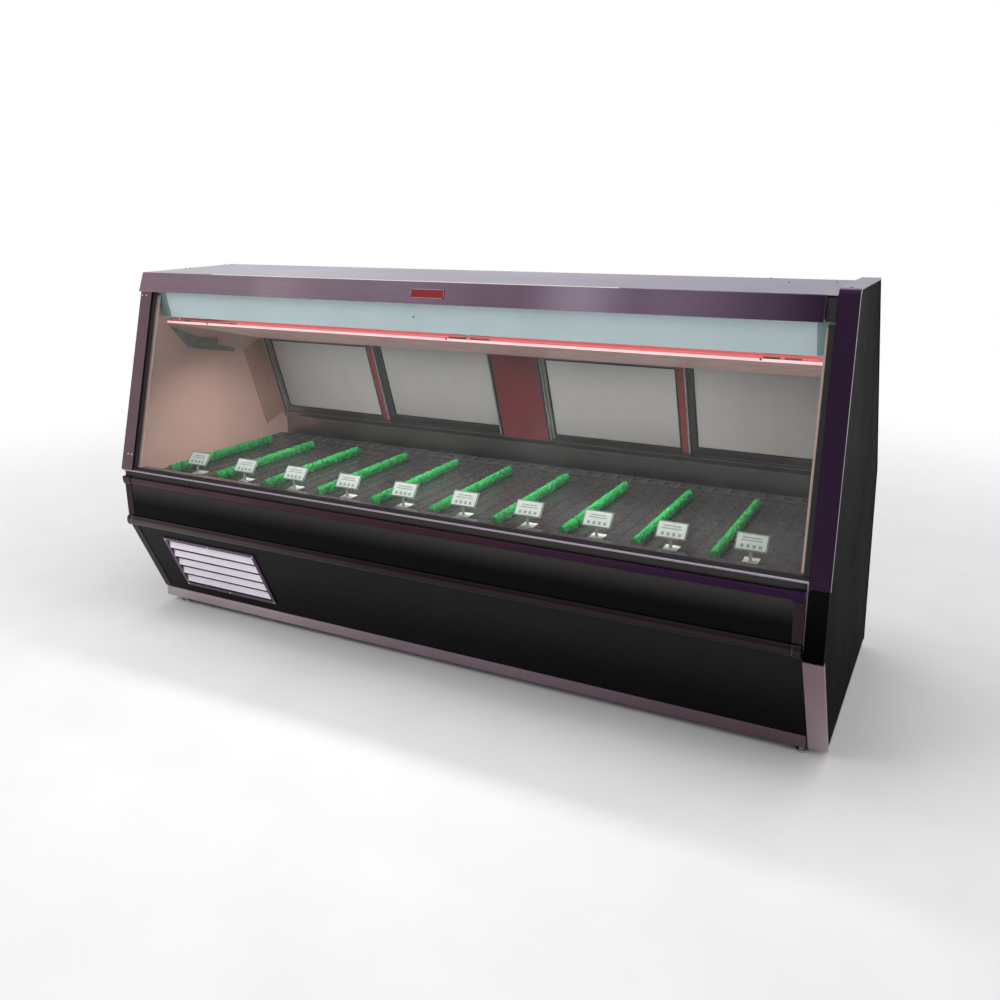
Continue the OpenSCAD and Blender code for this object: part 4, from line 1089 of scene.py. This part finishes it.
# ---------------------------------------------------------------- floor, light and camera
def floor():
    """Pale floor that fades to white far from the case."""
    bpy.ops.mesh.primitive_plane_add(size=60)
    ground = bpy.context.object
    ground.name = "floor"
    tree, main = shader("floor")
    reach = add(tree, "ShaderNodeVectorMath", {"operation": "LENGTH"})
    tree.links.new(place(tree), reach.inputs[0])
    dust = noise(tree, 3.0, detail=4.0)
    tone = mix(tree, spread(tree, dust, 0.3, 0.7), (0.90, 0.90, 0.90), (0.87, 0.87, 0.87))
    feed(tree, main, Base_Color=tone, Roughness=0.7, Specular_IOR_Level=0.2)
    white = add(tree, "ShaderNodeEmission", Color=(1, 1, 1, 1), Strength=1.0).outputs[0]
    surface(tree, blend_shaders(tree, spread(tree, reach.outputs["Value"], 1.6, 5.0), main.outputs[0], white))
    ground.data.materials.append(looks["floor"])


def surroundings():
    """White to the camera; to reflections an even grey room, brighter above and behind."""
    world = bpy.data.worlds.new("studio")
    bpy.context.scene.world = world
    world.use_nodes = True
    tree = world.node_tree
    tree.nodes.clear()
    direction = add(tree, "ShaderNodeTexCoord").outputs["Generated"]
    parts = add(tree, "ShaderNodeSeparateXYZ", Vector=direction)
    up = spread(tree, parts.outputs["Z"], 0.30, 0.90)
    back = spread(tree, parts.outputs["Y"], 0.10, 0.80)
    side = spread(tree, parts.outputs["X"], 0.55, 0.95)
    room = mix(tree, back, (0.46, 0.45, 0.46), (0.62, 0.61, 0.63))
    room = mix(tree, side, room, (0.70, 0.69, 0.71))
    room = mix(tree, up, room, (0.74, 0.74, 0.75))
    seen = add(tree, "ShaderNodeLightPath").outputs["Is Camera Ray"]
    tone = mix(tree, seen, room, (1.0, 1.0, 1.0))
    glow = add(tree, "ShaderNodeBackground", Color=tone, Strength=1.0)
    out = add(tree, "ShaderNodeOutputWorld")
    tree.links.new(glow.outputs[0], out.inputs["Surface"])


def softbox(name, spot, target, size, power, tone=(1, 1, 1), fan=180):
    """A soft light that isn't mirrored in the metal and the glass. fan is its spread in degrees."""
    lamp = bpy.data.lights.new(name, "AREA")
    lamp.shape = "RECTANGLE"
    lamp.size, lamp.size_y = size
    lamp.energy = power
    lamp.spread = math.radians(fan)
    lamp.color = tone
    holder = bpy.data.objects.new(name, lamp)
    bpy.context.scene.collection.objects.link(holder)
    holder.location = spot
    aim = Vector(target) - Vector(spot)
    holder.rotation_euler = aim.to_track_quat("-Z", "Y").to_euler()
    holder.visible_camera = False
    holder.visible_glossy = False


def camera():
    """The camera stands before the right end, a little above the case."""
    spot, azimuth, drop, bank = (1.5645, -2.8742, 1.5066), 27.395, 11.54, -0.183
    lens = bpy.data.cameras.new("camera")
    lens.sensor_width = 36.0
    lens.lens = 34.04
    lens.shift_y = -0.0903
    seat = bpy.data.objects.new("camera", lens)
    bpy.context.scene.collection.objects.link(seat)
    turn = Matrix.Rotation(math.radians(azimuth), 4, "Z")
    tilt = Matrix.Rotation(math.radians(90 - drop), 4, "X")
    roll = Matrix.Rotation(math.radians(bank), 4, "Z")
    seat.matrix_world = Matrix.Translation(spot) @ turn @ tilt @ roll
    bpy.context.scene.camera = seat


STUDIO_POWER, INSIDE_POWER = 60, 10.0
MIDDLE = (0, 0, 0.8)
ROSE = (1.0, 0.90, 0.88)
floor()
surroundings()
softbox("key", (-2.6, -3.6, 3.4), MIDDLE, (3.0, 2.0), STUDIO_POWER)
softbox("top", (0.4, -0.4, 4.2), MIDDLE, (4.0, 2.5), STUDIO_POWER)
for spot_x in (-0.66, 0.0, 0.66):
    softbox(f"inside_{spot_x:+.1f}", (spot_x, -0.14, 1.085), (spot_x, -0.05, 0.60), (0.56, 0.20),
            INSIDE_POWER, ROSE, fan=145)
camera()
bpy.context.scene.view_settings.view_transform = "Standard"
